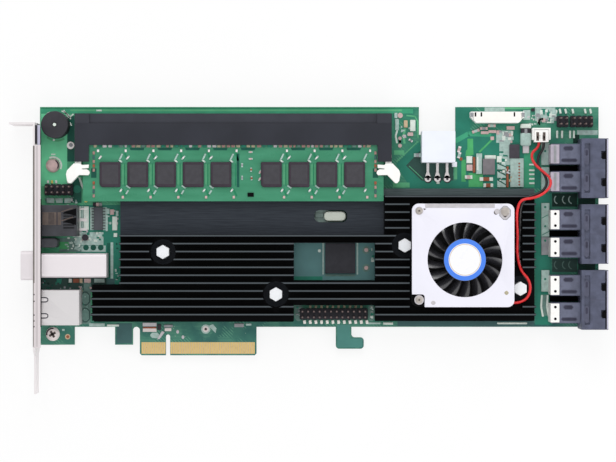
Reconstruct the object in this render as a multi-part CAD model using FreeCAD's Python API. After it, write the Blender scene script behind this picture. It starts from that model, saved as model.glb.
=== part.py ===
import FreeCAD, Part
import math
import os

V = FreeCAD.Vector
os.makedirs("parts", exist_ok=True)

# A full-height expansion card that drives storage disks. All lengths are in millimetres.
# While it is built, X runs from the board's bracket end, Y from the lower edge of the
# board's body and Z from its solder side. The finished pieces are moved so that the
# origin is at the card edge's key notch, on the line of the contacts' tips.

# --- circuit board ---
card_height = 111.15
edge_drop = 12.75
board_t = 1.57
body_height = card_height - edge_drop
key_x = 57.3
key_width = 1.9
key_depth = 9.3
short_side = 11.65
long_side = 38.65
edge_chamfer = 0.8
edge_bevel = 0.35
ear_drop = 8.0
ear_1_end = 15.5
ear_2_start = 33.6
edge_relief = 3.1
hook_x = 132.4
hook_stem = 7.0
hook_foot = 12.5
hook_drop = 9.8
hook_toe = 5.1
notch_gap = 12.55
notch_width = 16.3
notch_depth = 12.4

# --- edge contacts ---
contact_pitch = 1.0
contact_width = 0.7
contact_height = 5.2
contact_t = 0.05
short_contacts = 11
long_contacts = 38
contact_key_gap = 1.5

# --- bracket ---
sheet_t = 0.86
bracket_gap = 0.3
bracket_length = 120.02
bracket_top_y = 90.8
bracket_width = 18.42
bracket_below = 1.27
flange_out = 11.43
flange_slot_width = 4.42
flange_slot_length = 6.5
tongue_width = 10.19
shoulder = 3.2
shoulder_to_jack = 13.62
fixing_tab_length = 9.4
fixing_tab_width = 10.0
fixing_tab_step = 0.01
fixing_upper_y = 72.2
fixing_lower_y = -3.2
fixing_x = 5.8
screw_r = 1.45
screw_head_r = 3.1
screw_head_h = 1.9
screw_clearance = 0.15
thread_clearance = 0.03

# --- buzzer ---
buzzer_r = 6.0
buzzer_h = 8.5
buzzer_x = 7.5
buzzer_down = 8.3
buzzer_hole_r = 1.1
buzzer_hole_depth = 2.0

# --- memory socket, module and latches ---
socket_gap = 3.05
socket_margin = 3.575
socket_down = 17.4
socket_depth = 14.0
socket_h = 9.9
socket_step = 4.4
socket_step_drop = 0.8
arm_width = 6.3
arm_length = 7.4
module_length = 133.35
module_height = 30.0
module_t = 1.27
module_z = 7.0
module_seat = 5.1
module_clearance = 0.12
module_notch_r = 1.7
module_notch_y = 17.3
chip_width = 9.3
chip_length = 11.2
chip_h = 1.2
chip_chamfer = 1.0
chip_rise = 6.2
chip_pitch_share = 0.09224
left_chip_share = 0.0555
right_chip_share = 0.5917
left_chips = 5
right_chips = 4
latch_pivot_in = 1.5
latch_pivot_up = 2.9
latch_pin_r = 0.9
latch_pin_clearance = 0.06
latch_root_r = 1.6
latch_t = 4.1
latch_root_t = 2.6
latch_play = 0.35
latch_slot_play = 0.3
latch_pin_reach = 0.65
latch_pin_end_play = 0.12
module_key_x = 63.0
module_key_width = 1.5
module_key_depth = 3.8
socket_contact_t = 0.25

# --- heatsink ---
sink_left = 23.8
sink_step_x = 36.4
sink_step_y = 19.1
sink_to_edge = 29.2
sink_bottom = 2.9
sink_top = 61.8
sink_gap = 2.4
sink_base_t = 2.5
fin_h = 6.1
fin_t = 0.9
fin_pitch = 3.49
first_fin = 3.0
deck_fins = 11
deck_to_fan = 11.8
window_to_fan = 52.1
window_y = 21.0
window_width = 36.0
window_height = 16.6
header_gap = 9.9
deck_slot_in = 9.1
deck_slot_y = 46.8
deck_slot_length = 14.6
deck_slot_width = 5.4
screw_pocket_r = 6.0
hex_across = 5.5
hex_head_h = 3.5
hex_shank_r = 1.45
hex_hole_r = 1.6
spacer_across = 5.0
nut_h = 2.0
fan_bay_clearance = 0.9
lead_channel = 3.9
lead_bay_low = 10.2
lead_bay_high = 24.6

# --- chips under the heatsink and in its window ---
processor_to_window = 33.7
processor_y = 24.0
processor_side = 27.0
expander_y = 30.0
expander_side = 31.0
die_h = 2.0
window_chip_in = 20.7
window_chip_side = 13.5
window_chip_h = 1.5
window_chip_y = 30.7
crystal_length = 9.8
crystal_width = 4.5
crystal_h = 3.6

# --- fan ---
fan_side = 45.2
fan_to_sink = 9.8
rotor_off_middle = 0.8
fan_y = 30.2
fan_low = 9.3
fan_high = 55.0
fan_corner_r = 3.0
fan_base_t = 1.2
fan_h = 8.6
cover_t = 1.2
opening_r = 16.5
cover_ledge = 2.0
cover_ledge_drop = 0.5
cover_notch = 5.6
post_r = 2.4
post_in = 3.2
bearing_r = 1.9
bearing_wall_r = 2.8
shaft_r = 1.0
shaft_clearance = 0.03
hub_r = 9.45
hub_wall = 0.8
hub_top_t = 0.8
hub_h = 6.2
hub_sides = 34
hub_floor_gap = 0.7
label_r = 8.9
label_t = 0.12
blade_count = 17
blade_tip_r = 17.3
blade_t = 0.7
blade_chord = 4.6
blade_pitch = 38.0
stator_r = 7.6
stator_h = 3.4
stator_poles = 4
stator_slot = 2.2
fan_screw_r = 0.9
fan_screw_head_r = 1.6
fan_screw_head_h = 0.9
low_screw_head_r = 2.1
lug_length = 2.5
lug_width = 2.6
lug_h = 3.1

# --- fan leads, plug and header ---
lead_r = 0.6
lead_sides = 5
plug_gap = 7.6
plug_down = 15.9
plug_width = 6.4
plug_length = 5.4
plug_h = 4.0
plug_lift = 0.9
plug_play = 0.15
header_wall = 0.75
header_depth = 5.6

# --- power and ribbon connectors ---
power_in = 0.8
power_down = 25.1
power_width = 14.9
power_depth = 14.0
power_h = 9.0
power_wall = 1.1
power_floor = 1.2
power_mouth_depth = 10.0
power_leads = 3
power_lead_pitch = 4.3
power_lead_width = 1.6
power_lead_length = 6.6
power_lead_t = 0.6
ribbon_gap = 6.3
ribbon_down = 7.4
ribbon_width = 24.1
ribbon_depth = 5.0
ribbon_h = 6.0
ribbon_chamfer = 2.6
ribbon_slot_width = 1.8
ribbon_slot_depth = 4.2

# --- pin headers ---
pin_pitch = 2.54
pin_side = 0.64
pin_top = 8.3
pin_body_h = 2.5
header_chamfer = 0.45
corner_header_gap = 7.3
corner_header_down = 9.1
corner_gap = 0.8
corner_margin = 2.76
left_header_x = 2.3
left_header_y = 58.8
bottom_header_in = 2.5
bottom_header_y = 3.3

# --- jacks and housings at the bracket ---
network_low = 1.3
network_width = 15.4
network_end = 18.9
network_h = 13.4
shield_t = 0.3
network_mouth_width = 11.8
network_mouth_h = 8.6
network_mouth_depth = 10.0
network_wall = 1.6
spring_width = 2.4
spring_length = 4.6
spring_cut = 0.5
jack_low = 40.6
jack_width = 13.8
jack_end = 17.8
jack_h = 11.8
jack_mouth_width = 9.8
jack_mouth_h = 6.8
jack_mouth_depth = 9.0
jack_wall = 2.0
led_low = 35.6
led_width = 4.2
led_end = 8.9
led_h = 10.0
led_pipe_r = 1.4
leaded_x = 26.2
leaded_y = 48.4
leaded_width = 3.9
leaded_length = 10.2
leaded_h = 1.6
leaded_leads = 8
leaded_pitch = 1.27

# --- external cable port ---
cage_low = 22.2
cage_width = 10.8
cage_end = 30.7
cage_h = 11.0
cage_t = 0.4
collar_out = 5.9
collar_flare = 1.05
collar_corner_r = 1.6
cage_fill_end = 12.0
tip_reach = 5.0

# --- drive ports ---
port_groups = 3
port_pitch = 29.1
port_low = -0.7
port_width = 26.3
port_back = 9.4
port_overhang = 2.5
port_h = 13.4
mouth_width = 21.6
mouth_h = 4.8
mouth_depth = 9.0
mouth_floor = 1.2
mouth_web = 1.0
tongue_t = 1.0
tongue_reach = 4.2
tongue_side = 1.2
tower_back = 12.7
tower_width = 9.2
tower_h = 9.4
tower_low_in = 2.7
tower_high_in = 14.9
groove_in = 1.4
groove_width = 2.4
groove_depth = 0.7
latch_window_width = 3.2
latch_window_length = 1.9
lip_t = 0.7
lip_groove = 0.6
clip_t = 0.5
clip_wrap = 3.4
peg_r = 1.1
peg_length = 1.7

# --- power parts on the right ---
diode_gap = 0.3
diode_down = 17.5
diode_width = 4.9
diode_length = 9.9
diode_h = 2.5
regulator_in = 17.8
regulator_down = 23.0
regulator_width = 4.5
regulator_length = 6.2
driver_in = 5.9
driver_down = 30.3
driver_width = 5.4
driver_length = 7.1
flat_chip_h = 1.4

# --- places along the board: each piece stands beside the one before it ---
socket_length = module_length + 2 * socket_margin
socket_left = buzzer_x + buzzer_r + socket_gap
socket_x = socket_left + socket_length / 2
notch_x = socket_left + socket_length + notch_gap
power_x = notch_x + power_in
ribbon_x = notch_x + notch_width + ribbon_gap
driver_x = ribbon_x + driver_in
regulator_x = ribbon_x + regulator_in
diode_x = regulator_x + regulator_width + diode_gap
plug_x = ribbon_x + ribbon_width + plug_gap
corner_header_x = plug_x + corner_header_gap
board_length = corner_header_x + 6 * pin_pitch + corner_gap + corner_margin
sink_right = board_length - sink_to_edge
fan_right = sink_right - fan_to_sink
fan_left = fan_right - fan_side
fan_x = (fan_left + fan_right) / 2 + rotor_off_middle
expander_x = fan_x
deck_right = fan_left - deck_to_fan
window_x = fan_left - window_to_fan
window_chip_x = window_x + window_chip_in
processor_x = window_x - processor_to_window
deck_slot_x = window_x + deck_slot_in
bottom_header_x = window_x + bottom_header_in
hex_places = [(55.5, 33.6), (window_x - 8.0, 14.8), (fan_left - 2.9, 36.5), (fan_right + 3.2, 17.3)]

# --- places down from the board's top edge ---
buzzer_y = body_height - buzzer_down
socket_lip_y = body_height - socket_down
power_low = body_height - power_down
ribbon_low = body_height - ribbon_down
plug_y = body_height - plug_down
corner_header_y = body_height - corner_header_down
diode_y = body_height - diode_down
regulator_y = body_height - regulator_down
driver_y = body_height - driver_down

top = board_t
sink_base_z = top + sink_gap
deck_z = sink_base_z + sink_base_t
fin_top = deck_z + fin_h
origin = V(key_x, -edge_drop, 0)


def block(x0, x1, y0, y1, z0, z1):
    return Part.makeBox(x1 - x0, y1 - y0, z1 - z0, V(x0, y0, z0))


def rod(x, y, z0, z1, radius):
    return Part.makeCylinder(radius, z1 - z0, V(x, y, z0))


def sided(x, y, z0, z1, corner_r, sides):
    """An upright prism with this many equal sides."""
    angles = [2 * math.pi * (k + 0.5) / sides for k in range(sides + 1)]
    points = [V(x + corner_r * math.cos(a), y + corner_r * math.sin(a), z0) for a in angles]
    return Part.Face(Part.makePolygon(points)).extrude(V(0, 0, z1 - z0))


def stud(x, y, z0, z1, radius):
    """A small post, shank or hole with eight sides."""
    return sided(x, y, z0, z1, radius, 8)


def hexagon(x, y, z0, z1, across):
    return sided(x, y, z0, z1, across / math.sqrt(3), 6)


def rounded_outline(points, radius):
    """A closed outline in the XY plane whose corners are arcs of one radius, or less where a side is short."""
    edges = []
    starts = []
    count = len(points)
    arcs = []
    for i, (x, y) in enumerate(points):
        here = V(x, y, 0)
        before = V(*points[i - 1], 0) - here
        after = V(*points[(i + 1) % count], 0) - here
        half = before.getAngle(after) / 2
        reach = min(radius / math.tan(half), 0.45 * before.Length, 0.45 * after.Length)
        first = here + before.normalize() * reach
        last = here + after.normalize() * reach
        inward = (before + after).normalize()
        r = reach * math.tan(half)
        centre = here + inward * (r / math.sin(half))
        middle = centre - inward * r
        arcs.append((first, middle, last))
        starts.append(first)
    for i, (first, middle, last) in enumerate(arcs):
        edges.append(Part.Arc(first, middle, last).toShape())
        edges.append(Part.makeLine(last, starts[(i + 1) % count]))
    return Part.Wire(edges)


def prism(points, z0, z1, radius=0.0):
    if radius > 0:
        wire = rounded_outline(points, radius)
    else:
        wire = Part.makePolygon([V(x, y, 0) for x, y in points + points[:1]])
    solid = Part.Face(wire).extrude(V(0, 0, z1 - z0))
    solid.translate(V(0, 0, z0))
    return solid


def rounded_block(x0, x1, y0, y1, z0, z1, radius):
    return prism([(x0, y0), (x1, y0), (x1, y1), (x0, y1)], z0, z1, radius)


def fuse(shapes):
    return shapes[0].multiFuse(shapes[1:]).removeSplitter()


def save(name, shape):
    solids = shape.Solids
    moved = Part.makeCompound(solids) if len(solids) > 1 else solids[0].copy()
    moved.translate(-origin)
    moved.exportStep(f"parts/{name}.step")


def group(name, shapes):
    save(name, Part.makeCompound(shapes))


# ---------------------------------------------------------------- board
def fixing_places():
    return [(fixing_x, fixing_upper_y), (fixing_x, fixing_lower_y)]


def port_low_y(k):
    return port_low + k * port_pitch


def port_front():
    return board_length + port_overhang


def port_rear():
    return board_length - port_back


def peg_places():
    return [(port_rear() + 2 * peg_r, port_low_y(k) + port_width / 2) for k in range(port_groups)]


def board():
    left = key_x - key_width / 2 - short_side
    right = key_x + key_width / 2 + long_side
    ear_2_end = left - edge_relief
    tip = -edge_drop
    outline = [(0, body_height), (0, -ear_drop), (ear_1_end, -ear_drop), (ear_1_end, 0), (ear_2_start, 0),
               (ear_2_start, -ear_drop), (ear_2_end, -ear_drop), (ear_2_end, -edge_relief / 2),
               (left, -edge_relief / 2), (left, tip + edge_chamfer), (left + edge_chamfer, tip),
               (right - edge_chamfer, tip), (right, tip + edge_chamfer), (right, 0), (board_length, 0),
               (board_length, body_height), (notch_x + notch_width, body_height),
               (notch_x + notch_width, body_height - notch_depth), (notch_x, body_height - notch_depth),
               (notch_x, body_height)]
    body = prism(outline, 0, board_t)
    relief_x = (ear_2_end + left) / 2
    relief = rod(relief_x, -edge_relief / 2, 0, board_t, edge_relief / 2)
    key_top = tip + key_depth - key_width / 2
    key = block(key_x - key_width / 2, key_x + key_width / 2, tip - 1, key_top, 0, board_t)
    key_end = rod(key_x, key_top, 0, board_t, key_width / 2)
    body = body.cut(relief).cut(key).cut(key_end).fuse(hook()).removeSplitter()
    holes = [stud(x, y, 0, board_t, screw_r + screw_clearance) for x, y in fixing_places()]
    holes += [stud(x, y, 0, board_t, hex_hole_r) for x, y in hex_places]
    holes += [stud(x, y, 0, board_t, peg_r + screw_clearance) for x, y in peg_places()]
    body = body.cut(Part.makeCompound(holes))
    for side, lean in ((0.0, 1), (board_t, -1)):
        wedge = [V(left - 1, tip, side), V(left - 1, tip + 2 * edge_bevel, side),
                 V(left - 1, tip, side + lean * edge_bevel), V(left - 1, tip, side)]
        body = body.cut(Part.Face(Part.makePolygon(wedge)).extrude(V(right - left + 2, 0, 0)))
    save("circuit_board", body)


def hook():
    foot = prism([(hook_x, 1.0), (hook_x, -hook_drop), (hook_x + hook_foot, -hook_drop),
                  (hook_x + hook_foot, hook_toe - hook_drop), (hook_x + hook_stem, hook_toe - hook_drop),
                  (hook_x + hook_stem, 1.0)], 0, board_t, 1.5)
    return foot


def contact_x():
    places = [key_x - contact_key_gap - k * contact_pitch for k in range(short_contacts)]
    places += [key_x + contact_key_gap + k * contact_pitch for k in range(long_contacts)]
    return places


def edge_contacts():
    low = -edge_drop + 2 * edge_bevel
    pads = []
    for x in contact_x():
        for z in (-contact_t, board_t):
            pads.append(block(x - contact_width / 2, x + contact_width / 2, low, low + contact_height,
                              z, z + contact_t))
    group("edge_contacts", pads)


# ---------------------------------------------------------------- bracket
def sheet_back():
    return -bracket_gap


def sheet_front():
    return sheet_back() - sheet_t


def bracket():
    low = -bracket_below
    high = low + bracket_width
    mid = (low + high) / 2
    bottom = bracket_top_y - bracket_length
    wide = network_low - shoulder_to_jack
    half = tongue_width / 2
    outline = [V(0, bracket_top_y, low), V(0, bracket_top_y, high), V(0, wide + shoulder, high),
               V(0, wide, mid + half), V(0, bottom, mid + half), V(0, bottom, mid - half),
               V(0, wide, mid - half), V(0, wide + shoulder, low), V(0, bracket_top_y, low)]
    face = Part.Face(Part.makePolygon(outline)).extrude(V(sheet_t, 0, 0))
    face.translate(V(sheet_front(), 0, 0))
    flange = block(sheet_back() - flange_out, sheet_back(), bracket_top_y - sheet_t, bracket_top_y, low, high)
    pieces = [face, flange]
    for _, y in fixing_places():
        tab = block(sheet_front(), sheet_front() + fixing_tab_length, y - fixing_tab_width / 2,
                    y + fixing_tab_width / 2, -sheet_t - fixing_tab_step, -fixing_tab_step)
        pieces.append(tab)
    body = fuse(pieces)
    slot_x = sheet_back() - flange_out
    slot_end = slot_x + flange_slot_length - flange_slot_width / 2
    slot = block(slot_x - 1, slot_end, bracket_top_y - 2 * sheet_t, bracket_top_y + 1,
                 mid - flange_slot_width / 2, mid + flange_slot_width / 2)
    slot_round = Part.makeCylinder(flange_slot_width / 2, 3 * sheet_t,
                                   V(slot_end, bracket_top_y - 2 * sheet_t, mid), V(0, 1, 0))
    cuts = [slot, slot_round]
    cuts += [stud(x, y, -3 * sheet_t, 0, screw_r + thread_clearance) for x, y in fixing_places()]
    x0 = sheet_front() - 1
    x1 = sheet_back() + 1
    cuts.append(block(x0, x1, network_low - 0.2, network_low + network_width + 0.2, top, top + network_h + 0.2))
    jack_mid = jack_low + jack_width / 2
    cuts.append(block(x0, x1, jack_mid - jack_mouth_width / 2, jack_mid + jack_mouth_width / 2,
                      top + jack_wall, top + jack_wall + jack_mouth_h))
    cuts.append(cage_form(x0, x1, 0.2))
    for z in led_heights():
        cuts.append(light_pipe(x0, x1, z, led_pipe_r + 0.15))
    save("bracket", body.cut(Part.makeCompound(cuts)))


def bracket_screws():
    screws = []
    for x, y in fixing_places():
        shank = stud(x, y, -bracket_below + 0.1, top, screw_r)
        head = sided(x, y, top, top + screw_head_h, screw_head_r, 16)
        slots = []
        for turn in (0, 90):
            arm = block(-1.9, 1.9, -0.35, 0.35, 0, 2)
            arm.rotate(V(0, 0, 0), V(0, 0, 1), turn + 30)
            arm.translate(V(x, y, top + screw_head_h - 0.8))
            slots.append(arm)
        screws.append(fuse([shank, head]).cut(fuse(slots)))
    group("bracket_screws", screws)


# ---------------------------------------------------------------- buzzer
def buzzer():
    body = rod(buzzer_x, buzzer_y, top, top + buzzer_h, buzzer_r)
    high = top + buzzer_h
    hole = stud(buzzer_x, buzzer_y, high - buzzer_hole_depth, high, buzzer_hole_r)
    save("buzzer", body.cut(hole))


# ---------------------------------------------------------------- memory
def module_left():
    return socket_x - module_length / 2


def module_top_y():
    return socket_lip_y + module_seat


def module_low_z():
    return top + module_z


def memory_socket():
    x0 = socket_x - socket_length / 2
    x1 = socket_x + socket_length / 2
    high = top + socket_h
    y1 = socket_lip_y + socket_depth
    beam = block(x0, x1, socket_lip_y, y1, top, high)
    step = block(x0 + arm_width, x1 - arm_width, y1 - socket_step, y1, high - socket_step_drop, high)
    slot_x0 = module_left() - module_clearance
    slot_x1 = module_left() + module_length + module_clearance
    slot = block(slot_x0, slot_x1, socket_lip_y - arm_length, module_top_y() + module_clearance,
                 module_low_z() - module_clearance, module_low_z() + module_t + module_clearance)
    under = block(x0 + arm_width, x1 - arm_width, socket_lip_y, socket_lip_y + 6.0, top, top + 3.6)
    pieces = [beam]
    cuts = [step, slot, under]
    for side in (-1, 1):
        outer = socket_x + side * socket_length / 2
        inner = outer - side * arm_width
        xs = sorted((outer, inner))
        pieces.append(block(xs[0], xs[1], socket_lip_y - arm_length, socket_lip_y, top, high))
        pin_x, pin_y = latch_pivot(side)
        z0, z1 = latch_slot()
        cuts.append(block(xs[0] - 1, xs[1] + 1, socket_lip_y - arm_length - 1,
                          pin_y + latch_root_r + latch_slot_play, z0, z1))
        pin_low, pin_high = latch_pin_z()
        cuts.append(rod(pin_x, pin_y, pin_low - latch_pin_end_play, pin_high + latch_pin_end_play,
                        latch_pin_r + latch_pin_clearance))
    body = fuse(pieces).cut(Part.makeCompound(cuts[:1])).cut(fuse(cuts[1:]))
    save("memory_socket", body)


def latch_pivot(side):
    outer = socket_x + side * socket_length / 2
    return outer - side * latch_pivot_in, socket_lip_y - arm_length + latch_pivot_up


def latch_root_z():
    middle = module_low_z() + module_t / 2
    return middle - latch_root_t / 2, middle + latch_root_t / 2


def latch_pin_z():
    z0, z1 = latch_root_z()
    return z0 - latch_pin_reach, z1 + latch_pin_reach


def latch_slot():
    z0, z1 = latch_root_z()
    return z0 - latch_slot_play, z1 + latch_slot_play


def latch(side):
    """One end latch, drawn for the left end about its pivot and mirrored for the right."""
    high = top + socket_h
    low = high - latch_t
    root_low, root_high = latch_root_z()
    edge = socket_length / 2 - module_length / 2 - latch_pivot_in
    over = module_low_z() + module_t + latch_play
    plate = prism([(-1.9, -3.7), (1.1, -3.7), (1.7, -4.3), (edge - latch_play, -6.2), (edge - latch_play, -8.8),
                   (0.7, -8.5), (-3.1, -12.4), (-4.0, -12.4), (-4.8, -11.4), (-5.3, -8.4), (-4.8, -6.7)],
                  low, high)
    neck = prism([(-1.4, -4.4), (1.2, -4.4), (latch_root_r, 0), (-latch_root_r, 0)], root_low, root_high)
    root = sided(0, 0, root_low, root_high, latch_root_r, 12)
    pin_low, pin_high = latch_pin_z()
    pin = rod(0, 0, pin_low, pin_high, latch_pin_r)
    finger = prism([(1.2, -4.4), (4.8, -4.2), (4.7, -5.7), (1.2, -6.0)], over, high)
    thumb = prism([(0.6, -6.3), (3.9, -6.3), (4.9, -6.9), (5.2, -7.6), (5.1, -8.3), (4.5, -8.9), (0.6, -8.8)],
                  over, high)
    tooth = stud(edge + 0.3, module_notch_offset(), module_low_z() + 0.1, over + 0.5, 1.0)
    shape = fuse([plate, neck, root, pin, finger, thumb, tooth])
    if side > 0:
        shape = shape.mirror(V(0, 0, 0), V(1, 0, 0))
    x, y = latch_pivot(side)
    shape.translate(V(x, y, 0))
    return shape


def module_notch_offset():
    """Height of the module's side notch, measured from the latch's pivot."""
    return module_top_y() - module_notch_y - latch_pivot(-1)[1]


def memory_board():
    x0 = module_left()
    y1 = module_top_y()
    z0 = module_low_z()
    body = rounded_block(x0, x0 + module_length, y1 - module_height, y1, z0, z0 + module_t, 0.5)
    notch_y = y1 - module_notch_y
    cuts = [rod(x0, notch_y, z0, z0 + module_t, module_notch_r),
            rod(x0 + module_length, notch_y, z0, z0 + module_t, module_notch_r),
            block(x0 + module_key_x, x0 + module_key_x + module_key_width, y1 - module_key_depth, y1 + 1,
                  z0, z0 + module_t)]
    save("memory_board", body.cut(Part.makeCompound(cuts)))


def memory_chips():
    x0 = module_left()
    pitch = chip_pitch_share * module_length
    starts = [x0 + left_chip_share * module_length + k * pitch for k in range(left_chips)]
    starts += [x0 + right_chip_share * module_length + k * pitch for k in range(right_chips)]
    y0 = module_top_y() - module_height + chip_rise
    z0 = module_low_z() + module_t
    for number, x in enumerate(starts, 1):
        outline = [(x + chip_chamfer, y0), (x + chip_width, y0), (x + chip_width, y0 + chip_length),
                   (x, y0 + chip_length), (x, y0 + chip_chamfer)]
        save(f"memory_chip_{number}", prism(outline, z0, z0 + chip_h))


def socket_contacts():
    """The rows of spring contacts along the lip of the socket, one strip to each side of the module's key."""
    z0 = module_low_z() + module_t
    key = module_left() + module_key_x
    starts = (module_left() + module_key_x * 0.06, key + module_key_width)
    ends = (key, module_left() + module_length - module_key_x * 0.06)
    strips = [block(x0 + 1.0, x1 - 1.0, socket_lip_y - 1.0, socket_lip_y, z0, z0 + socket_contact_t)
              for x0, x1 in zip(starts, ends)]
    group("socket_contacts", strips)


# ---------------------------------------------------------------- heatsink
def fan_bay():
    return (fan_left - fan_bay_clearance, fan_right + lead_channel, fan_low - fan_bay_clearance,
            fan_high + fan_bay_clearance)


def fin_rows():
    rows = []
    y = sink_bottom + first_fin
    while y + fin_t / 2 < sink_top - 1.0:
        rows.append(y)
        y += fin_pitch
    return rows


def heatsink():
    base = prism([(sink_left, sink_bottom), (sink_right, sink_bottom), (sink_right, sink_top),
                  (sink_step_x, sink_top), (sink_step_x, sink_step_y), (sink_left, sink_step_y)],
                 sink_base_z, deck_z)
    fins = []
    for number, y in enumerate(fin_rows()):
        x0 = sink_left if y < sink_step_y - fin_t else sink_step_x
        if number >= deck_fins:
            x0 = deck_right
        fins.append(block(x0, sink_right, y - fin_t / 2, y + fin_t / 2, deck_z, fin_top))
    bay = fan_bay()
    clear = [block(bay[0], bay[1], bay[2], bay[3], deck_z, fin_top + 1),
             block(bay[1] - 1, sink_right + 1, lead_bay_low, lead_bay_high, deck_z, fin_top + 1)]
    clear += [sided(x, y, deck_z, fin_top + 1, screw_pocket_r, 16) for x, y in hex_places]
    comb = Part.makeCompound(fins).cut(Part.makeCompound(clear))
    window = block(window_x, window_x + window_width, window_y, window_y + window_height,
                   sink_base_z - 1, fin_top + 1)
    mouth = block(window_x, window_x + window_width, sink_bottom - 1, header_gap, sink_base_z - 1, fin_top + 1)
    slot = rounded_block(deck_slot_x, deck_slot_x + deck_slot_length, deck_slot_y,
                         deck_slot_y + deck_slot_width, sink_base_z - 1, deck_z + 1, deck_slot_width * 0.44)
    holes = [stud(x, y, sink_base_z - 1, deck_z + 1, hex_hole_r) for x, y in hex_places]
    body = base.multiFuse(comb.Solids)
    body = body.cut(Part.makeCompound([window, mouth, slot])).cut(Part.makeCompound(holes))
    save("heatsink", body.removeSplitter())


def heatsink_fixings():
    screws = []
    spacers = []
    nuts = []
    for x, y in hex_places:
        head = hexagon(x, y, deck_z, deck_z + hex_head_h, hex_across)
        screws.append(fuse([head, stud(x, y, -nut_h, deck_z, hex_shank_r)]))
        hole = stud(x, y, top, sink_base_z, hex_hole_r)
        spacers.append(hexagon(x, y, top, sink_base_z, spacer_across).cut(hole))
        thread = stud(x, y, -nut_h, 0, hex_shank_r + thread_clearance)
        nuts.append(hexagon(x, y, -nut_h, 0, hex_across).cut(thread))
    group("heatsink_screws", screws)
    group("heatsink_spacers", spacers)
    group("heatsink_nuts", nuts)


# ---------------------------------------------------------------- chips
def square_chip(x, y, side, z0, z1):
    half = side / 2
    return block(x - half, x + half, y - half, y + half, z0, z1)


def chips():
    save("processor_chip", square_chip(processor_x, processor_y, processor_side, top, top + die_h))
    save("processor_thermal_pad", square_chip(processor_x, processor_y, processor_side - 4, top + die_h,
                                              sink_base_z))
    save("expander_chip", square_chip(expander_x, expander_y, expander_side, top, top + die_h))
    save("expander_thermal_pad", square_chip(expander_x, expander_y, expander_side - 4, top + die_h,
                                             sink_base_z))
    save("window_chip", square_chip(window_chip_x, window_chip_y, window_chip_side, top, top + window_chip_h))
    slot_mid_x = deck_slot_x + deck_slot_length - crystal_length / 2 - 0.5
    slot_mid_y = deck_slot_y + deck_slot_width / 2
    can = rounded_block(slot_mid_x - crystal_length / 2, slot_mid_x + crystal_length / 2,
                        slot_mid_y - crystal_width / 2, slot_mid_y + crystal_width / 2,
                        top, top + crystal_h, crystal_width * 0.44)
    save("crystal", can)


def leaded_chip():
    x0 = leaded_x - leaded_width / 2
    y0 = leaded_y - leaded_length / 2
    body = block(x0, x0 + leaded_width, y0, y0 + leaded_length, top + 0.1, top + leaded_h)
    pieces = [body]
    start = leaded_y - (leaded_leads - 1) * leaded_pitch / 2
    for k in range(leaded_leads):
        y = start + k * leaded_pitch
        for side in (-1, 1):
            edge = leaded_x + side * leaded_width / 2
            xs = sorted((edge, edge + side * 1.1))
            pieces.append(block(xs[0], xs[1], y - 0.2, y + 0.2, top, top + 0.5))
    save("leaded_chip", fuse(pieces))


def power_parts():
    save("diode", block(diode_x, diode_x + diode_width, diode_y, diode_y + diode_length, top, top + diode_h))
    chips_right = [block(regulator_x, regulator_x + regulator_width, regulator_y,
                         regulator_y + regulator_length, top, top + flat_chip_h),
                   block(driver_x, driver_x + driver_width, driver_y, driver_y + driver_length,
                         top, top + flat_chip_h)]
    group("regulator_chips", chips_right)


# ---------------------------------------------------------------- fan
def fan_posts():
    return [(fan_left + post_in, fan_low + post_in), (fan_right - post_in, fan_low + post_in),
            (fan_right - post_in, fan_high - post_in), (fan_left + post_in, fan_high - post_in)]


def cover_z():
    return deck_z + fan_h - cover_t


def fan_base():
    floor = deck_z + fan_base_t
    plate = rounded_block(fan_left, fan_right, fan_low, fan_high, deck_z, floor, fan_corner_r)
    pieces = [plate, stud(fan_x, fan_y, floor, floor + stator_h + 1.0, bearing_wall_r)]
    pieces += [stud(x, y, floor, cover_z(), post_r) for x, y in fan_posts()]
    pieces.append(block(fan_right - lug_length - 0.1, fan_right - 0.1, fan_low + 0.4, fan_low + 0.4 + lug_width,
                        floor, floor + lug_h))
    cuts = [stud(fan_x, fan_y, floor - 0.6, floor + stator_h + 1.0, bearing_r)]
    cuts += [stud(x, y, cover_z() - 3.0, cover_z(), fan_screw_r + thread_clearance) for x, y in screwed_posts()]
    save("fan_base", fuse(pieces).cut(Part.makeCompound(cuts)))


def screwed_posts():
    posts = fan_posts()
    return [posts[2], posts[3]]


def fan_cover():
    z0 = cover_z()
    z1 = z0 + cover_t
    plate = rounded_block(fan_left, fan_right, fan_low, fan_high, z0, z1, fan_corner_r)
    corner = rounded_block(fan_left - 5, fan_left + cover_notch, fan_low - 5, fan_low + cover_notch,
                           z0, z1, 1.2)
    ledge = block(fan_left + cover_notch, fan_right - cover_notch, fan_high - cover_ledge, fan_high,
                  z1 - cover_ledge_drop, z1)
    cuts = [rod(fan_x, fan_y, z0, z1, opening_r), corner, ledge]
    cuts += [stud(x, y, z0, z1, fan_screw_r + screw_clearance) for x, y in screwed_posts()]
    body = plate
    for cut in cuts:
        body = body.cut(cut)
    save("fan_cover", body)


def fan_screws():
    z1 = cover_z() + cover_t
    screws = []
    for x, y in screwed_posts():
        shank = stud(x, y, cover_z() - 2.6, z1, fan_screw_r)
        head = stud(x, y, z1, z1 + fan_screw_head_h, fan_screw_head_r)
        screws.append(fuse([shank, head]))
    x, y = fan_posts()[0]
    screws.append(stud(x, y, cover_z(), cover_z() + cover_t, low_screw_head_r))
    group("fan_screws", screws)


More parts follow.
